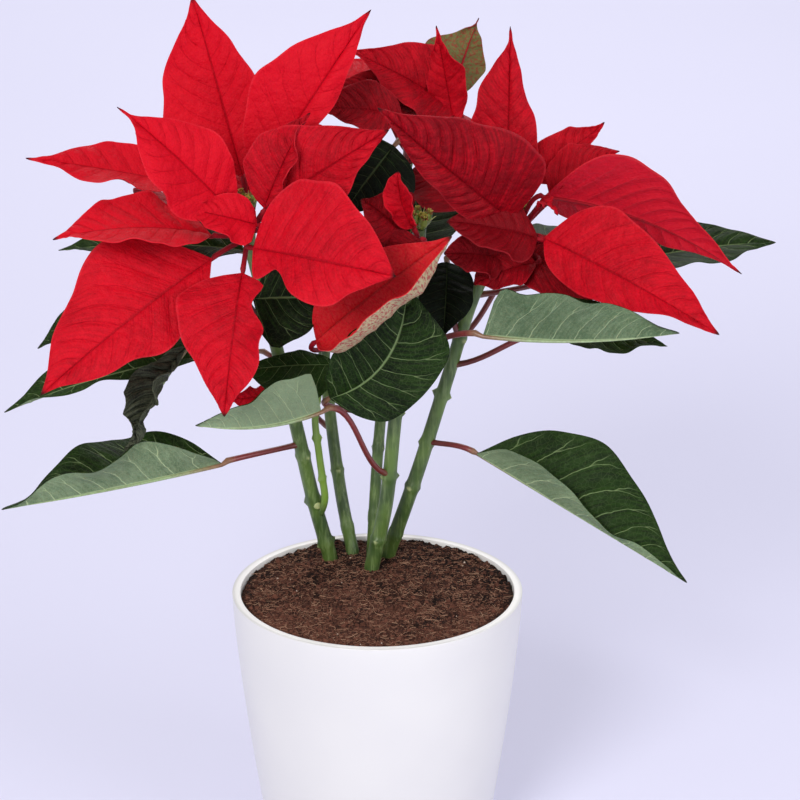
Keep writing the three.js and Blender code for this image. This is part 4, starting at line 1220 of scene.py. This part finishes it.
# %% Blades: the stalk and its midrib
STALK = {"radius": 1.4, "rise": 0.3, "bend": 0.35, "sides": 10, "rings": 14}
FOOT_SWELLING = {"share": 0.45, "over": 0.07}
BASE_SWELLING = {"share": 0.12, "over": 0.08}
RIB = {"reach": 0.9, "rings": 16, "share": 0.62, "taper": 0.8, "least": 0.12, "sunk": 0.1}
INTO_BLADE = 0.09


def stalk_line(row, start):
    """A smooth bend from the stem to the blade's base."""
    base, into = midrib(row, np.array([0.0, INTO_BLADE]))
    reach = np.linalg.norm(base - start)
    outwards = (base - start) * (1, 1, STALK["rise"])
    outwards /= np.linalg.norm(outwards)
    inwards = (into - base) / np.linalg.norm(into - base)
    leave = start + outwards * reach * STALK["bend"]
    arrive = base - inwards * reach * STALK["bend"]
    t = np.linspace(0, 1, STALK["rings"], endpoint=False)[:, None]
    return (1 - t)**3 * start + 3 * (1 - t)**2 * t * leave + 3 * (1 - t) * t**2 * arrive + t**3 * base


def make_stalk(name, row, start, finish, thickness=1.0):
    """The rod of the stalk and the rib under the blade."""
    free = stalk_line(row, start)
    share = np.linspace(0, RIB["reach"], RIB["rings"])
    radius = STALK["radius"] * thickness
    rib_radius = radius * RIB["share"] * (1 - share / RIB["reach"]) ** RIB["taper"] + RIB["least"]
    below = MIDRIB_DEPTH * (1 - MIDRIB_TAPER * share) + rib_radius - RIB["sunk"]
    rib = midrib(row, share) - blade_axes(row)[1] * below[:, None]
    line = np.vstack([free, rib])
    at = np.linspace(0, 1, len(free))
    at_foot = FOOT_SWELLING["share"] * np.exp(-at / FOOT_SWELLING["over"])
    at_base = BASE_SWELLING["share"] * np.exp(-(1 - at) / BASE_SWELLING["over"])
    free_radius = radius * (1 + at_foot + at_base)
    piece, ring, _ = rod(name, line, np.concatenate([free_radius, rib_radius]), sides=STALK["sides"])
    reach = np.concatenate([at - 1, share])
    paint(piece, "reach", reach[ring])
    paint(piece, "tone", row["tone"])
    paint(piece, "green", row["green"])
    piece.data.materials.append(finish)
    smooth(piece, degrees=70)
    return piece

# %% [markdown]
# ## Finishes of leaves and bracts
# Both faces of a blade show the same veins, but not in the same way. Above, a leaf is dark and waxy
# with thin pale veins; below it is matt grey-green with raised ones. A bract is velvety red above,
# with veins a little deeper than the lamina, and duller and pinker below. Light passes through a fresh
# blade, so all finishes but the withered one scatter a little light under their surface. The veins are
# drawn from the second UV map, whose first number counts veins, so the drawing always lies on the
# relief. Fine creases run beside the veins, because a drying lamina shrinks between them.

# %% Blades: finishes
# Widths of veins are shares of the way from one side vein to the next.
VEIN_HALF_WIDTH, VEIN_NARROWING, BRANCH_HALF_WIDTH = 0.045, 0.03, 0.028
VEIN_WANDER = 0.3
FORKS_FROM = 0.62
FORK_SPREAD = 0.62
SINGLE_ENDS = (FORKS_FROM + 0.03, FORKS_FROM + 0.13)
BRANCH_STRENGTH = 0.8
VEINS_FADE = {"between": (0.75, 1.0), "from": 0.9}
RIB_FROM, RIB_TO = 0.006, 0.04
NET_CELL_MM = 2.4
NET_LINE = 0.07
CREASES_PER_VEIN = 7.0
CREASE_BREAKS = 2.2
CREASE_HEIGHT = 0.7
CREASE_BETWEEN = (0.3, 0.7)
# Scales count the patches of a noise to a centimetre.
DRIFT_SCALE, CLOUD_SCALE, CREPE_SCALE, GRAIN_SCALE, MOTTLE_SCALE = 1.1, 0.35, 2.4, 14.0, 7.0
CLOUD_SHARE, CREPE_SHARE, GRAIN_SHARE = 0.55, 0.35, 0.3
DEEP_BETWEEN = (0.3, 1.05)
DIM_BELOW, DIM_TO = 0.45, 0.2
LINE_HEIGHT, NET_HEIGHT, GRAIN_HEIGHT = 0.8, 0.12, 0.3
# Painted highlight: a thin paler rim along the margins, one colour for each face.
MARGIN_HIGHLIGHT_BETWEEN, TIP_BETWEEN = (0.955, 0.985), (0.955, 0.995)
EDGE = {1: (214, 110, 104), -1: (232, 70, 80)}


def vein_pattern(finish):
    """How much a place is side vein, midrib, fine net or crease, how far out it is, and its flat map."""
    veins = add(finish, "UVMap", uv_map="veins").outputs["UV"]
    split = add(finish, "SeparateXYZ", {"Vector": veins})
    count, out = split.outputs["X"], split.outputs["Y"]
    lamina = add(finish, "UVMap", uv_map="UVMap").outputs["UV"]
    drift = speckle(finish, lamina, DRIFT_SCALE, detail=2.0)
    wander = maths(finish, "MULTIPLY_ADD", drift, VEIN_WANDER, -VEIN_WANDER / 2)
    off = maths(finish, "PINGPONG", maths(finish, "ADD", count, wander), 0.5)
    width = maths(finish, "MULTIPLY_ADD", out, -VEIN_NARROWING, VEIN_HALF_WIDTH)
    single = maths(finish, "MULTIPLY", span(finish, off, 0.0, width, 1.0, 0.0),
                   span(finish, out, *SINGLE_ENDS, 1.0, 0.0))
    parted = maths(finish, "MULTIPLY", maths(finish, "SUBTRACT", out, FORKS_FROM), FORK_SPREAD)
    branch = maths(finish, "ABSOLUTE", maths(finish, "SUBTRACT", off, parted))
    forked = maths(finish, "MULTIPLY", span(finish, branch, 0.0, BRANCH_HALF_WIDTH, BRANCH_STRENGTH, 0.0),
                   maths(finish, "GREATER_THAN", out, FORKS_FROM))
    fading = span(finish, out, *VEINS_FADE["between"], VEINS_FADE["from"], 0.0)
    side_vein = maths(finish, "MULTIPLY", maths(finish, "MAXIMUM", single, forked), fading)
    rib = span(finish, out, RIB_FROM, RIB_TO, 1.0, 0.0)
    cells = {"Vector": lamina, "Scale": MAP_UNIT_MM / NET_CELL_MM}
    edges = add(finish, "TexVoronoi", cells, feature="DISTANCE_TO_EDGE").outputs["Distance"]
    net = span(finish, edges, 0.0, NET_LINE, 1.0, 0.0)
    across = maths(finish, "MULTIPLY", count, CREASES_PER_VEIN)
    beside = add(finish, "CombineXYZ", {"X": across, "Y": maths(finish, "MULTIPLY", out, CREASE_BREAKS)})
    creases = speckle(finish, beside.outputs["Vector"], 1.0, detail=4.0, roughness=0.6)
    return side_vein, rib, net, span(finish, creases, *CREASE_BETWEEN), out, lamina


def blade_finish(name, light, deep, vein, tip, shares, raised, roughness, crepe_height, crease, **shader):
    """A finish for one face of a blade.

    shares says how strongly the midrib, the side veins, the net and a painted highlight along the margin
    show, and raised is 1 where the veins stand out and -1 where they sink. A blade whose tone is painted
    dark, as if in shade, has dimmer veins and more painted shade in its creases, and crease says how
    strongly that shade shows. Returned are also the parts that a finish may still change.
    """
    finish, surface = new_finish(name, **shader)
    side_vein, rib, net, creases, out, lamina = vein_pattern(finish)
    line = maths(finish, "MAXIMUM", side_vein, rib)
    rib_share, vein_share, net_share, margin_highlight_share = shares
    tone = painted(finish, "tone")
    cloud = speckle(finish, lamina, CLOUD_SCALE)
    crepe = speckle(finish, lamina, CREPE_SCALE, detail=4.0, roughness=0.6)
    grain = speckle(finish, lamina, GRAIN_SCALE, detail=2.0)
    shade = maths(finish, "MULTIPLY_ADD", grain, GRAIN_SHARE, maths(finish, "MULTIPLY", cloud, CLOUD_SHARE))
    shade = maths(finish, "MULTIPLY_ADD", crepe, CREPE_SHARE, shade)
    shade = maths(finish, "ADD", shade, maths(finish, "SUBTRACT", 0.5, tone))
    # Painted shade: the creases are painted deeper where their grooves sink, more on a blade painted dark.
    crease_shade = maths(finish, "MULTIPLY", maths(finish, "SUBTRACT", creases, 0.5), crease)
    shade = maths(finish, "MULTIPLY_ADD", crease_shade, maths(finish, "SUBTRACT", 1.5, tone), shade)
    colour = mixed(finish, span(finish, shade, *DEEP_BETWEEN), linear(light), linear(deep))
    drawn = maths(finish, "MULTIPLY", rib, rib_share)
    for pattern, share in ((side_vein, vein_share), (net, net_share)):
        drawn = maths(finish, "MAXIMUM", drawn, maths(finish, "MULTIPLY", pattern, share))
    drawn = maths(finish, "MULTIPLY", drawn, span(finish, tone, 0.0, DIM_BELOW, DIM_TO, 1.0))
    colour = mixed(finish, drawn, colour, linear(vein))
    # Painted highlight along the margin.
    colour = mixed(finish, span(finish, out, *MARGIN_HIGHLIGHT_BETWEEN, 0.0, margin_highlight_share), colour, linear(EDGE[raised]))
    colour = mixed(finish, span(finish, painted(finish, "reach"), *TIP_BETWEEN), colour, linear(tip))
    height = maths(finish, "MULTIPLY_ADD", line, LINE_HEIGHT, maths(finish, "MULTIPLY", net, NET_HEIGHT))
    grained = maths(finish, "MULTIPLY", grain, GRAIN_HEIGHT)
    height = maths(finish, "MULTIPLY_ADD", height, float(raised), grained)
    height = maths(finish, "MULTIPLY_ADD", crepe, crepe_height, height)
    height = maths(finish, "MULTIPLY_ADD", creases, -CREASE_HEIGHT, height)
    gloss = span(finish, crepe, 0.3, 0.7, roughness - 0.04, roughness + 0.05)
    return finish, surface, colour, bump(finish, height, depth_mm=0.3, strength=0.8), gloss, lamina


LEAF_FINISHES = {
    "leaf_top": dict(light=(34, 58, 14), deep=(4, 12, 2), vein=(136, 158, 106), tip=(40, 50, 30),
                     shares=(0.75, 0.8, 0.07, 0.0), raised=-1, roughness=0.5, crepe_height=1.8,
                     crease=0.34, Specular_IOR_Level=0.1, Subsurface_Weight=0.05, Subsurface_Scale=0.001),
    "leaf_under": dict(light=(126, 144, 110), deep=(68, 90, 60), vein=(176, 192, 146), tip=(70, 80, 60),
                       shares=(0.9, 0.85, 0.12, 0.0), raised=1, roughness=0.62, crepe_height=3.2,
                       crease=0.16, Specular_IOR_Level=0.2, Subsurface_Weight=0.08, Subsurface_Scale=0.001),
    "withered_leaf": dict(light=(86, 92, 70), deep=(8, 10, 7), vein=(104, 108, 84), tip=(20, 20, 18),
                          shares=(0.5, 0.3, 0.2, 0.0), raised=1, roughness=0.65, crepe_height=4.0,
                          crease=0.4, Specular_IOR_Level=0.2),
}
BRACT_FINISHES = {
    "bract_top": dict(light=(200, 5, 29), deep=(112, 1, 12), vein=(84, 1, 8), tip=(50, 10, 12),
                      shares=(0.34, 0.13, 0.05, 0.14), raised=-1, roughness=0.6, crepe_height=5.5,
                      crease=0.2, Specular_IOR_Level=0.12, Subsurface_Weight=0.1, Subsurface_Scale=0.0012),
    "bract_under": dict(light=(188, 14, 36), deep=(126, 6, 20), vein=(196, 60, 72), tip=(50, 10, 12),
                        shares=(0.3, 0.25, 0.06, 0.12), raised=1, roughness=0.62, crepe_height=4.5,
                        crease=0.3, Specular_IOR_Level=0.12, Subsurface_Weight=0.1,
                        Subsurface_Scale=0.0012),
}
PALE_TURN = {"green": (176, 172, 134), "red": (160, 70, 70)}
OLIVE_TURN = {"green": (104, 114, 66), "red": (134, 70, 50)}
TURN_STRENGTHS = {"bract_top": 0.05, "bract_under": 1.0}


def turning(finish, colour, lamina, strength):
    """The colour with mottled green where a bract is still turning from green to red."""
    mottle = speckle(finish, lamina, MOTTLE_SCALE, detail=5.0, roughness=0.7)
    spread = span(finish, mottle, 0.44, 0.6)
    pale = mixed(finish, spread, linear(PALE_TURN["green"]), linear(PALE_TURN["red"]))
    olive = mixed(finish, spread, linear(OLIVE_TURN["green"]), linear(OLIVE_TURN["red"]))
    # The painted tone, which paints light and shade, also picks the green: olive where dark, pale where
    # bright.
    green = mixed(finish, span(finish, painted(finish, "tone"), 0.3, 0.7), olive, pale)
    patchy = span(finish, mottle, 0.25, 0.5, 0.7 * strength, strength)
    greenness = maths(finish, "MULTIPLY", painted(finish, "green"), patchy)
    return mixed(finish, greenness, colour, green)


finishes = {}
for name, words in (*LEAF_FINISHES.items(), *BRACT_FINISHES.items()):
    finish, surface, colour, normal, gloss, lamina = blade_finish(name, **words)
    if name in TURN_STRENGTHS:
        colour = turning(finish, colour, lamina, TURN_STRENGTHS[name])
    set_finish(finish, surface, Base_Color=colour, Normal=normal, Roughness=gloss)
    finishes[name] = finish
print("blade finishes:", ", ".join(finishes))

# %% [markdown]
# A leaf's stalk is brownish red, greener where it meets the stem, and its rib fades to pale green. A
# bract's stalk is deep red all along. Both have a fine grain, and a leaf's stalk has a slight gloss.

# %% Stalks: finishes
STALK_GRAIN = (70, 28, 24)
STALK_DARKER = 0.35
LEAF_STALK = [
    (0.0, (118, 92, 60)), (0.06, (104, 42, 38)), (0.45, (126, 50, 50)), (0.52, (138, 112, 80)),
    (0.62, (146, 168, 120)),
]
BRACT_STALK = [(0.0, (104, 40, 40)), (0.1, (124, 16, 30)), (0.5, (150, 8, 28)), (0.7, (150, 6, 26))]


def stalk_finish(name, stops, **shader):
    """A finish that changes along the stalk, from the stem at -1 over the blade's base at 0 to its tip."""
    finish, surface = new_finish(name, **shader)
    along = maths(finish, "MULTIPLY_ADD", painted(finish, "reach"), 0.5, 0.5)
    ramp = add(finish, "ValToRGB", {"Fac": along})
    marks = ramp.color_ramp.elements
    for _ in stops[2:]:
        marks.new(0.5)
    for i, (at, colour) in enumerate(stops):
        marks[i].position = at
        marks[i].color = linear(colour)
    place = add(finish, "TexCoord").outputs["Object"]
    grain = speckle(finish, place, 700.0)
    darker = span(finish, grain, NOISE_LOW, NOISE_HIGH, 0.0, STALK_DARKER)
    shaded = mixed(finish, darker, ramp.outputs["Color"], linear(STALK_GRAIN))
    set_finish(finish, surface, Base_Color=shaded, Normal=bump(finish, grain, depth_mm=0.15, strength=0.5))
    return finish


finishes["leaf_stalk"] = stalk_finish("leaf_stalk", LEAF_STALK, Roughness=0.32)
finishes["bract_stalk"] = stalk_finish("bract_stalk", BRACT_STALK, Roughness=0.6, Specular_IOR_Level=0.15)

# %% [markdown]
# A stem is mid green and lighter towards its top, with fine lengthwise streaks. Its old leaf scars are
# corky and paler. The noise is stretched along the stem by a mapping, because a stem's cells are long.

# %% Stems: finish
STEM_LOW = (76, 100, 40)
STEM_HIGH = (102, 130, 62)
STEM_DARK = (28, 54, 24)
STEM_STREAK = (134, 154, 98)
SHOOT_LIME = (116, 148, 48)
SCAR_CORK = (168, 176, 118)
LOW_TO_HIGH = (0.13, 0.27)
LENGTHWISE = (1.0, 1.0, 0.09)
STREAK_SCALE, PATCH_SCALE = 520.0, 55.0

bark, surface = new_finish("stem_green", Roughness=0.42, Subsurface_Weight=0.05, Subsurface_Scale=0.001)
place = add(bark, "TexCoord").outputs["Object"]
height = add(bark, "SeparateXYZ", {"Vector": place}).outputs["Z"]
long_way = add(bark, "Mapping", {"Vector": place, "Scale": LENGTHWISE}).outputs["Vector"]
streaks = speckle(bark, long_way, STREAK_SCALE, detail=4.0, roughness=0.65)
patches = speckle(bark, place, PATCH_SCALE)
colour = mixed(bark, span(bark, height, *LOW_TO_HIGH), linear(STEM_LOW), linear(STEM_HIGH))
colour = mixed(bark, span(bark, patches, 0.35, 0.65, 0.0, 0.65), colour, linear(STEM_DARK))
colour = mixed(bark, span(bark, painted(bark, "young"), 0.0, 1.0, 0.0, 0.85), colour, linear(SHOOT_LIME))
colour = mixed(bark, span(bark, streaks, 0.45, 0.7, 0.0, 0.45), colour, linear(STEM_STREAK))
colour = mixed(bark, span(bark, painted(bark, "scar"), 0.25, 0.85, 0.0, 0.85), colour, linear(SCAR_CORK))
set_finish(bark, surface, Base_Color=colour, Normal=bump(bark, streaks, depth_mm=0.4, strength=0.8))
finishes["stem_green"] = bark

for piece in (*stem_pieces.values(), cut_scar):
    piece.data.materials.append(bark)

# %% Leaves: building them
LEAF_HABIT = {"pucker": 0.6, "sway": 1.3, "veins": 9, "ragged": 0.03}


def own_draw(name):
    """A steady number from 0 to 1 for a blade, out of its name."""
    return (sum(ord(letter) * (i + 3) for i, letter in enumerate(name)) * 0.6180339) % 1.0


# Tones are painted light and shade. They run from 0, painted dark as if in shade, to 1, painted bright
# as if in full light. green is how far a bract is from its full red.
LOOKS = {
    "bracts_left_upright": {"tone": 0.8},
    "bracts_left_upper_right": {"tone": 0.7},
    "bracts_left_front_left": {"tone": 0.85},
    "bracts_left_rear_left": {"tone": 0.85},
    "bracts_left_mid_left": {"tone": 0.85},
    "bracts_left_mid_right": {"tone": 0.6},
    "bracts_left_front_small": {"tone": 0.7},
    "bracts_left_front_right": {"pucker": 1.0},
    "bracts_middle_dark": {"tone": 0.2},
    "bracts_middle_low": {"tone": 0.2},
    "bracts_rear_turning": {"green": 1.0, "tone": 0.1},
    "bracts_rear_wide_left": {"tone": 0.45},
    "bracts_rear_shaded_left": {"tone": 0.25, "pucker": 0.8},
    "bracts_rear_near_left": {"tone": 0.25},
    "bracts_right_corrugated": {"pucker": 1.3, "veins": 13, "tone": 0.32},
    "bracts_right_side": {"pucker": 1.0, "veins": 11, "tone": 0.9},
    "bracts_right_under_left": {"tone": 0.12},
    "bracts_right_under_low": {"tone": 0.15},
    "bracts_right_low_dark": {"tone": 0.15},
    "bracts_right_low_turned": {"tone": 0.2},
    "bracts_right_back_left": {"tone": 0.15},
    "bracts_shoot_folded": {"green": 1.0, "tone": 0.9, "pucker": 0.6},
    "leaf_withered": {"pucker": 2.4, "sway": 3.0, "ragged": 0.22, "veins": 13, "tone": 0.42},
    "leaf_inner_right": {"tone": 0.1},
    "leaf_inner_dark": {"tone": 0.1},
    "leaf_inner_left": {"tone": 0.25},
    "leaf_front_centre": {"tone": 0.45},
    "leaf_front_left": {"tone": 0.75},
    "leaf_front_right": {"tone": 0.35},
}


def looked_at(piece, row):
    """The row with the blade's own draw and what is special about its relief and colour."""
    return {**row, "draw": own_draw(piece), **LOOKS.get(piece, {})}


for stem_name, rows in LEAVES.items():
    line = stem_line(stem_name)
    for row in rows:
        name = f"leaf_{row['name']}"
        row = looked_at(name, {**row, **LEAF_HABIT})
        top, under = ("withered_leaf",) * 2 if row["name"] == "withered" else ("leaf_top", "leaf_under")
        lamina = make_blade(name + "_blade", row, finishes[top], finishes[under])
        stalk = make_stalk(name + "_stalk", row, at_height(line, row["foot"]), finishes["leaf_stalk"])
        leaf = joined(name + "_veined", [lamina, stalk])
        stands_for(leaf, "leaf", name)
print("leaves", sum(len(rows) for rows in LEAVES.values()))

# %% [markdown]
# ## Stems and collars in place
# Every stem ends in a collar, its green tip, from which the bracts grow. The side shoot grew out of the
# left stem, so those two are one piece.

# %% Stems: in place
joined("stem_left_green", [stem_pieces["left"], stem_pieces["shoot"], cut_scar])
stem_pieces.pop("shoot")
for name, piece in stem_pieces.items():
    stands_for(piece, "stem", f"stem_{name}")

# %% Flower heads: collars and bracts
COLLAR_BULGE = [0, 0.5, 0.6, 0.45, 0.3]
COLLAR_GAP = 0.8
BEARS_FROM, BEARS_TO = 0.1, 0.75
BRACT_STALK_THICKNESS = 0.85


def collar_line(name):
    """The collar's foot, its end and the direction between them."""
    foot = np.array(STEMS[name]["path"][-1], float)
    end = np.array(STEMS[name]["head"], float)
    up = (end - foot) / np.linalg.norm(end - foot)
    return foot + up * COLLAR_GAP, end, up


for head, rows in BRACTS.items():
    foot, end, up = collar_line(head)
    share = np.linspace(0, 1, len(COLLAR_BULGE))[:, None]
    radii = STEMS[head]["radius"][1] + np.array(COLLAR_BULGE)
    collar = rod(f"collar_{head}", foot + (end - foot) * share, radii, sides=20)[0]
    paint(collar, "scar", 0.0)
    paint(collar, "young", 0.0)
    collar.data.materials.append(bark)
    smooth(collar, degrees=60)
    parts = [collar]
    for row in rows:
        name = f"bracts_{head}_{row['name']}"
        row = looked_at(name, row)
        start = foot + (end - foot) * (BEARS_FROM + (BEARS_TO - BEARS_FROM) * row["foot"])
        parts.append(make_blade(name, row, finishes["bract_top"], finishes["bract_under"]))
        stalk = make_stalk(name + "_stalk", row, start, finishes["bract_stalk"], BRACT_STALK_THICKNESS)
        parts.append(stalk)
    whorl = joined(f"bracts_{head}_veined", parts)
    stands_for(whorl, "bract", f"bracts_{head}")
    print(head, len(rows), "bracts,", len(whorl.data.polygons), "faces")

# %% [markdown]
# ## Cyathia
# The true flowers of a poinsettia are small green cups in the middle of the bracts. Each has five reddish
# lobes round its mouth, a yellow lipped gland on one side, and a tuft of yellow stamens. A cup is a
# cylinder drawn in at foot and mouth, with its inside pushed down, and is built anew for each place
# round the disc. Slender pale bracteoles stand out between the cups.

# %% Cyathia: one cup
CUP_PROFILE = [(0.0, 0.62), (0.18, 0.86), (0.4, 1.0), (0.62, 0.98), (0.82, 0.84), (1.0, 0.7)]
CUP_RADIUS = 2.4
CUP_HEIGHT = 6.5
CUP_LEAN = 0.35
CUP_FIRST_TURN = 0.4
CUP_RAISED = 0.8
CUP_LIP = 0.35
CUP_DEPTH = 1.6
LOBE = {
    "count": 5, "out": 1.35, "sunk": 0.3, "lean": 0.1, "along": [0, 0.5, 1.0, 1.3],
    "radii": [0.5, 0.55, 0.35, 0.1], "sides": 8, "finish": "cyathium_red",
}
STAMEN = {
    "count": 7, "turn": 2.4, "steepness": 2.6, "sunk": 1.2, "along": [0, 1.4, 2.5, 2.6, 3.1, 3.3],
    "radii": [0.16, 0.14, 0.14, 0.36, 0.36, 0.1], "sides": 6, "finish": "pollen_yellow",
}
GLAND = {"out": 1.02, "up": 0.72, "tilt": math.radians(68), "radius": 0.95, "thickness": 0.42}
DISC = {"gap": 0.4, "height": 1.6, "along": (0, 0.6, 1), "radii": [2.2, 2.9, 3.0]}
BRACTEOLE = {
    "count": 7, "turn": 2.4, "length": (6.0, 9.5), "lean": (0.55, 1.1), "along": [0, 0.35, 0.7, 1],
    "radii": [0.5, 0.42, 0.3, 0.08], "sides": 8, "finish": "bracteole_pale",
}
CYATHIA = {
    "left": (4, 4.2), "rear_left": (3, 3.6), "middle": (4, 3.8), "rear": (3, 3.6), "right": (4, 4.2),
    "shoot": (1, 0),
}


def upright(up, foot):
    """A placing that stands a model on foot, along up, in millimetres."""
    turn = Vector(up).to_track_quat("Z", "X").to_matrix().to_4x4()
    return Matrix.Translation(Vector(foot) * MM) @ turn


def sprout(name, root, lean, kind):
    """A small straight rod that grows from a root along a direction, for a part of a flower."""
    piece = rod(name, root + np.outer(kind["along"], lean), kind["radii"], kind["sides"])[0]
    piece.data.materials.append(finishes[kind["finish"]])
    return piece


def make_cup(name):
    """The cup, its mouth, lobes, gland and stamens, standing at the origin."""
    line = np.array([(0, 0, at * CUP_HEIGHT) for at, _ in CUP_PROFILE])
    radii = [share * CUP_RADIUS for _, share in CUP_PROFILE]
    cup = rod(name, line, radii, sides=16)[0]
    select_top(cup)
    bpy.ops.mesh.inset(thickness=CUP_LIP * MM)
    bpy.ops.mesh.extrude_region_move(TRANSFORM_OT_translate={"value": (0, 0, -CUP_DEPTH * MM)})
    bpy.ops.object.mode_set(mode="OBJECT")
    cup.data.materials.append(finishes["cyathium_green"])
    smooth(cup, degrees=60)
    parts = [cup]
    for i in range(LOBE["count"]):
        turn = 2 * math.pi * i / LOBE["count"]
        side = np.array([math.cos(turn), math.sin(turn), 0])
        root = side * LOBE["out"] + (0, 0, CUP_HEIGHT - LOBE["sunk"])
        parts.append(sprout(f"{name}_lobe", root, side * LOBE["lean"] + (0, 0, 1), LOBE))
    for i in range(STAMEN["count"]):
        turn = STAMEN["turn"] * i
        lean = np.array([math.cos(turn), math.sin(turn), STAMEN["steepness"]])
        lean /= np.linalg.norm(lean)
        root = np.array([0, 0, CUP_HEIGHT - STAMEN["sunk"]])
        parts.append(sprout(f"{name}_stamen", root, lean, STAMEN))
    bpy.ops.mesh.primitive_torus_add(
        location=(CUP_RADIUS * GLAND["out"] * MM, 0, CUP_HEIGHT * GLAND["up"] * MM),
        rotation=(0, GLAND["tilt"], 0),
        major_radius=GLAND["radius"] * MM, minor_radius=GLAND["thickness"] * MM,
        major_segments=16, minor_segments=8,
    )
    gland = bpy.context.object
    gland.data.materials.append(finishes["pollen_yellow"])
    bpy.ops.object.shade_smooth()
    parts.append(gland)
    whole = joined(name, parts)
    bpy.ops.object.transform_apply(location=True, rotation=True, scale=True)
    return whole

# %% Cyathia: finishes
def plain_growth(name, light, dark, roughness, scale=500.0):
    """A small part's finish: two tones mixed by noise, with a little relief."""
    finish, surface = new_finish(name, Roughness=roughness, Subsurface_Weight=0.1, Subsurface_Scale=0.0008)
    place = add(finish, "TexCoord").outputs["Object"]
    pattern = speckle(finish, place, scale)
    colour = mixed(finish, span(finish, pattern, NOISE_LOW, NOISE_HIGH), linear(light), linear(dark))
    normal = bump(finish, pattern, depth_mm=0.12, strength=0.5)
    set_finish(finish, surface, Base_Color=colour, Normal=normal)
    return finish


finishes["cyathium_green"] = plain_growth("cyathium_green", (150, 168, 66), (88, 122, 40), 0.45)
finishes["cyathium_red"] = plain_growth("cyathium_red", (150, 70, 40), (130, 120, 50), 0.5)
finishes["pollen_yellow"] = plain_growth("pollen_yellow", (200, 190, 84), (166, 150, 50), 0.4)
finishes["bracteole_pale"] = plain_growth("bracteole_pale", (196, 200, 130), (140, 156, 76), 0.5)

# %% Cyathia: clusters
for head, (cups, spread) in CYATHIA.items():
    _, end, up = collar_line(head)
    foot = end + up * DISC["gap"]
    line = foot + np.outer(DISC["along"], up * DISC["height"])
    disc = rod(f"disc_{head}", line, DISC["radii"], sides=20)[0]
    disc.data.materials.append(finishes["cyathium_green"])
    smooth(disc, degrees=60)
    across = np.array([1.0, 0, 0]) - up * up[0]
    across /= np.linalg.norm(across)
    other = np.cross(up, across)
    parts = [disc]
    for i in range(cups):
        turn = 2 * math.pi * i / cups + CUP_FIRST_TURN
        outwards = across * math.cos(turn) + other * math.sin(turn)
        lean = up + outwards * (CUP_LEAN if cups > 1 else 0)
        cup = make_cup(f"cup_{head}_{i}")
        cup.data.transform(upright(lean, foot + up * CUP_RAISED + outwards * spread / 2))
        parts.append(cup)
    for i in range(BRACTEOLE["count"] if cups > 1 else 0):
        turn = BRACTEOLE["turn"] * i + CUP_FIRST_TURN
        outwards = across * math.cos(turn) + other * math.sin(turn)
        share = rng.uniform(0, 1)
        lean = up + outwards * np.interp(share, (0, 1), BRACTEOLE["lean"])
        lean *= np.interp(share, (0, 1), BRACTEOLE["length"]) / np.linalg.norm(lean)
        root = foot + up * DISC["height"] * 0.5 + outwards
        sprig = sprout(f"bracteole_{head}_{i}", root, lean, BRACTEOLE)
        smooth(sprig, degrees=60)
        parts.append(sprig)
    cluster = joined(f"cyathia_{head}_open", parts)
    stands_for(cluster, "cyathia", f"cyathia_{head}")
print("clusters of cyathia", len(CYATHIA))

# %% [markdown]
# ## Floor and light
# The plant stands on a pale lavender floor that runs back far enough to fill the picture. A large soft
# light from the upper left gives the bracts their form, a second fills from the right, and a weak one
# reaches the back. One more evens out the far floor, and the world adds an even pale light, so that
# shadows stay open and the white pot stays white.

# %% Floor
FLOOR_SIZE = 24
FLOOR = (222, 221, 240)
FLOOR_SHADE = (219, 218, 238)

bpy.ops.mesh.primitive_plane_add(size=FLOOR_SIZE, location=(0, 0, 0))
floor = bpy.context.object
floor.name = "floor"
paper, surface = new_finish("floor_paper", Roughness=0.9, Specular_IOR_Level=0.1)
place = add(paper, "TexCoord").outputs["Object"]
colour = mixed(paper, speckle(paper, place, 1.5, detail=1.0), linear(FLOOR), linear(FLOOR_SHADE))
set_finish(paper, surface, Base_Color=colour)
floor.data.materials.append(paper)

# %% Lights
LIGHTS = {
    "key": {"place": (-0.75, -1.7, 1.25), "size": 0.9, "power": 27.5, "colour": (1.0, 0.99, 0.98)},
    "fill": {"place": (1.5, -1.1, 0.7), "size": 1.2, "power": 12.0, "colour": (0.97, 0.97, 1.0)},
    "back": {"place": (0.2, 1.5, 1.6), "size": 1.2, "power": 6.0, "colour": (0.98, 0.98, 1.0)},
    "floor": {"place": (0.0, 3.2, 2.4), "size": 3.0, "power": 39.0, "colour": (1.0, 1.0, 1.0)},
}
WORLD = (0.94, 0.938, 1.0)
WORLD_STRENGTH = 0.62
AIM = Vector((0.0, 0.0, 0.24))
FLOOR_AIM = Vector((0.0, 3.4, 0.0))

for name, words in LIGHTS.items():
    place = Vector(words["place"])
    aim = FLOOR_AIM if name == "floor" else AIM
    turn = (aim - place).to_track_quat("-Z", "Y").to_euler()
    bpy.ops.object.light_add(type="AREA", location=place, rotation=turn)
    light = bpy.context.object
    light.name = f"light_{name}"
    light.data.shape = "DISK"
    light.data.size = words["size"]
    light.data.energy = words["power"]
    light.data.color = words["colour"]

world = bpy.data.worlds.new("studio")
bpy.context.scene.world = world
world.use_nodes = True
sky = world.node_tree.nodes["Background"]
sky.inputs["Color"].default_value = (*WORLD, 1.0)
sky.inputs["Strength"].default_value = WORLD_STRENGTH
bpy.context.scene.view_settings.view_transform = "Standard"
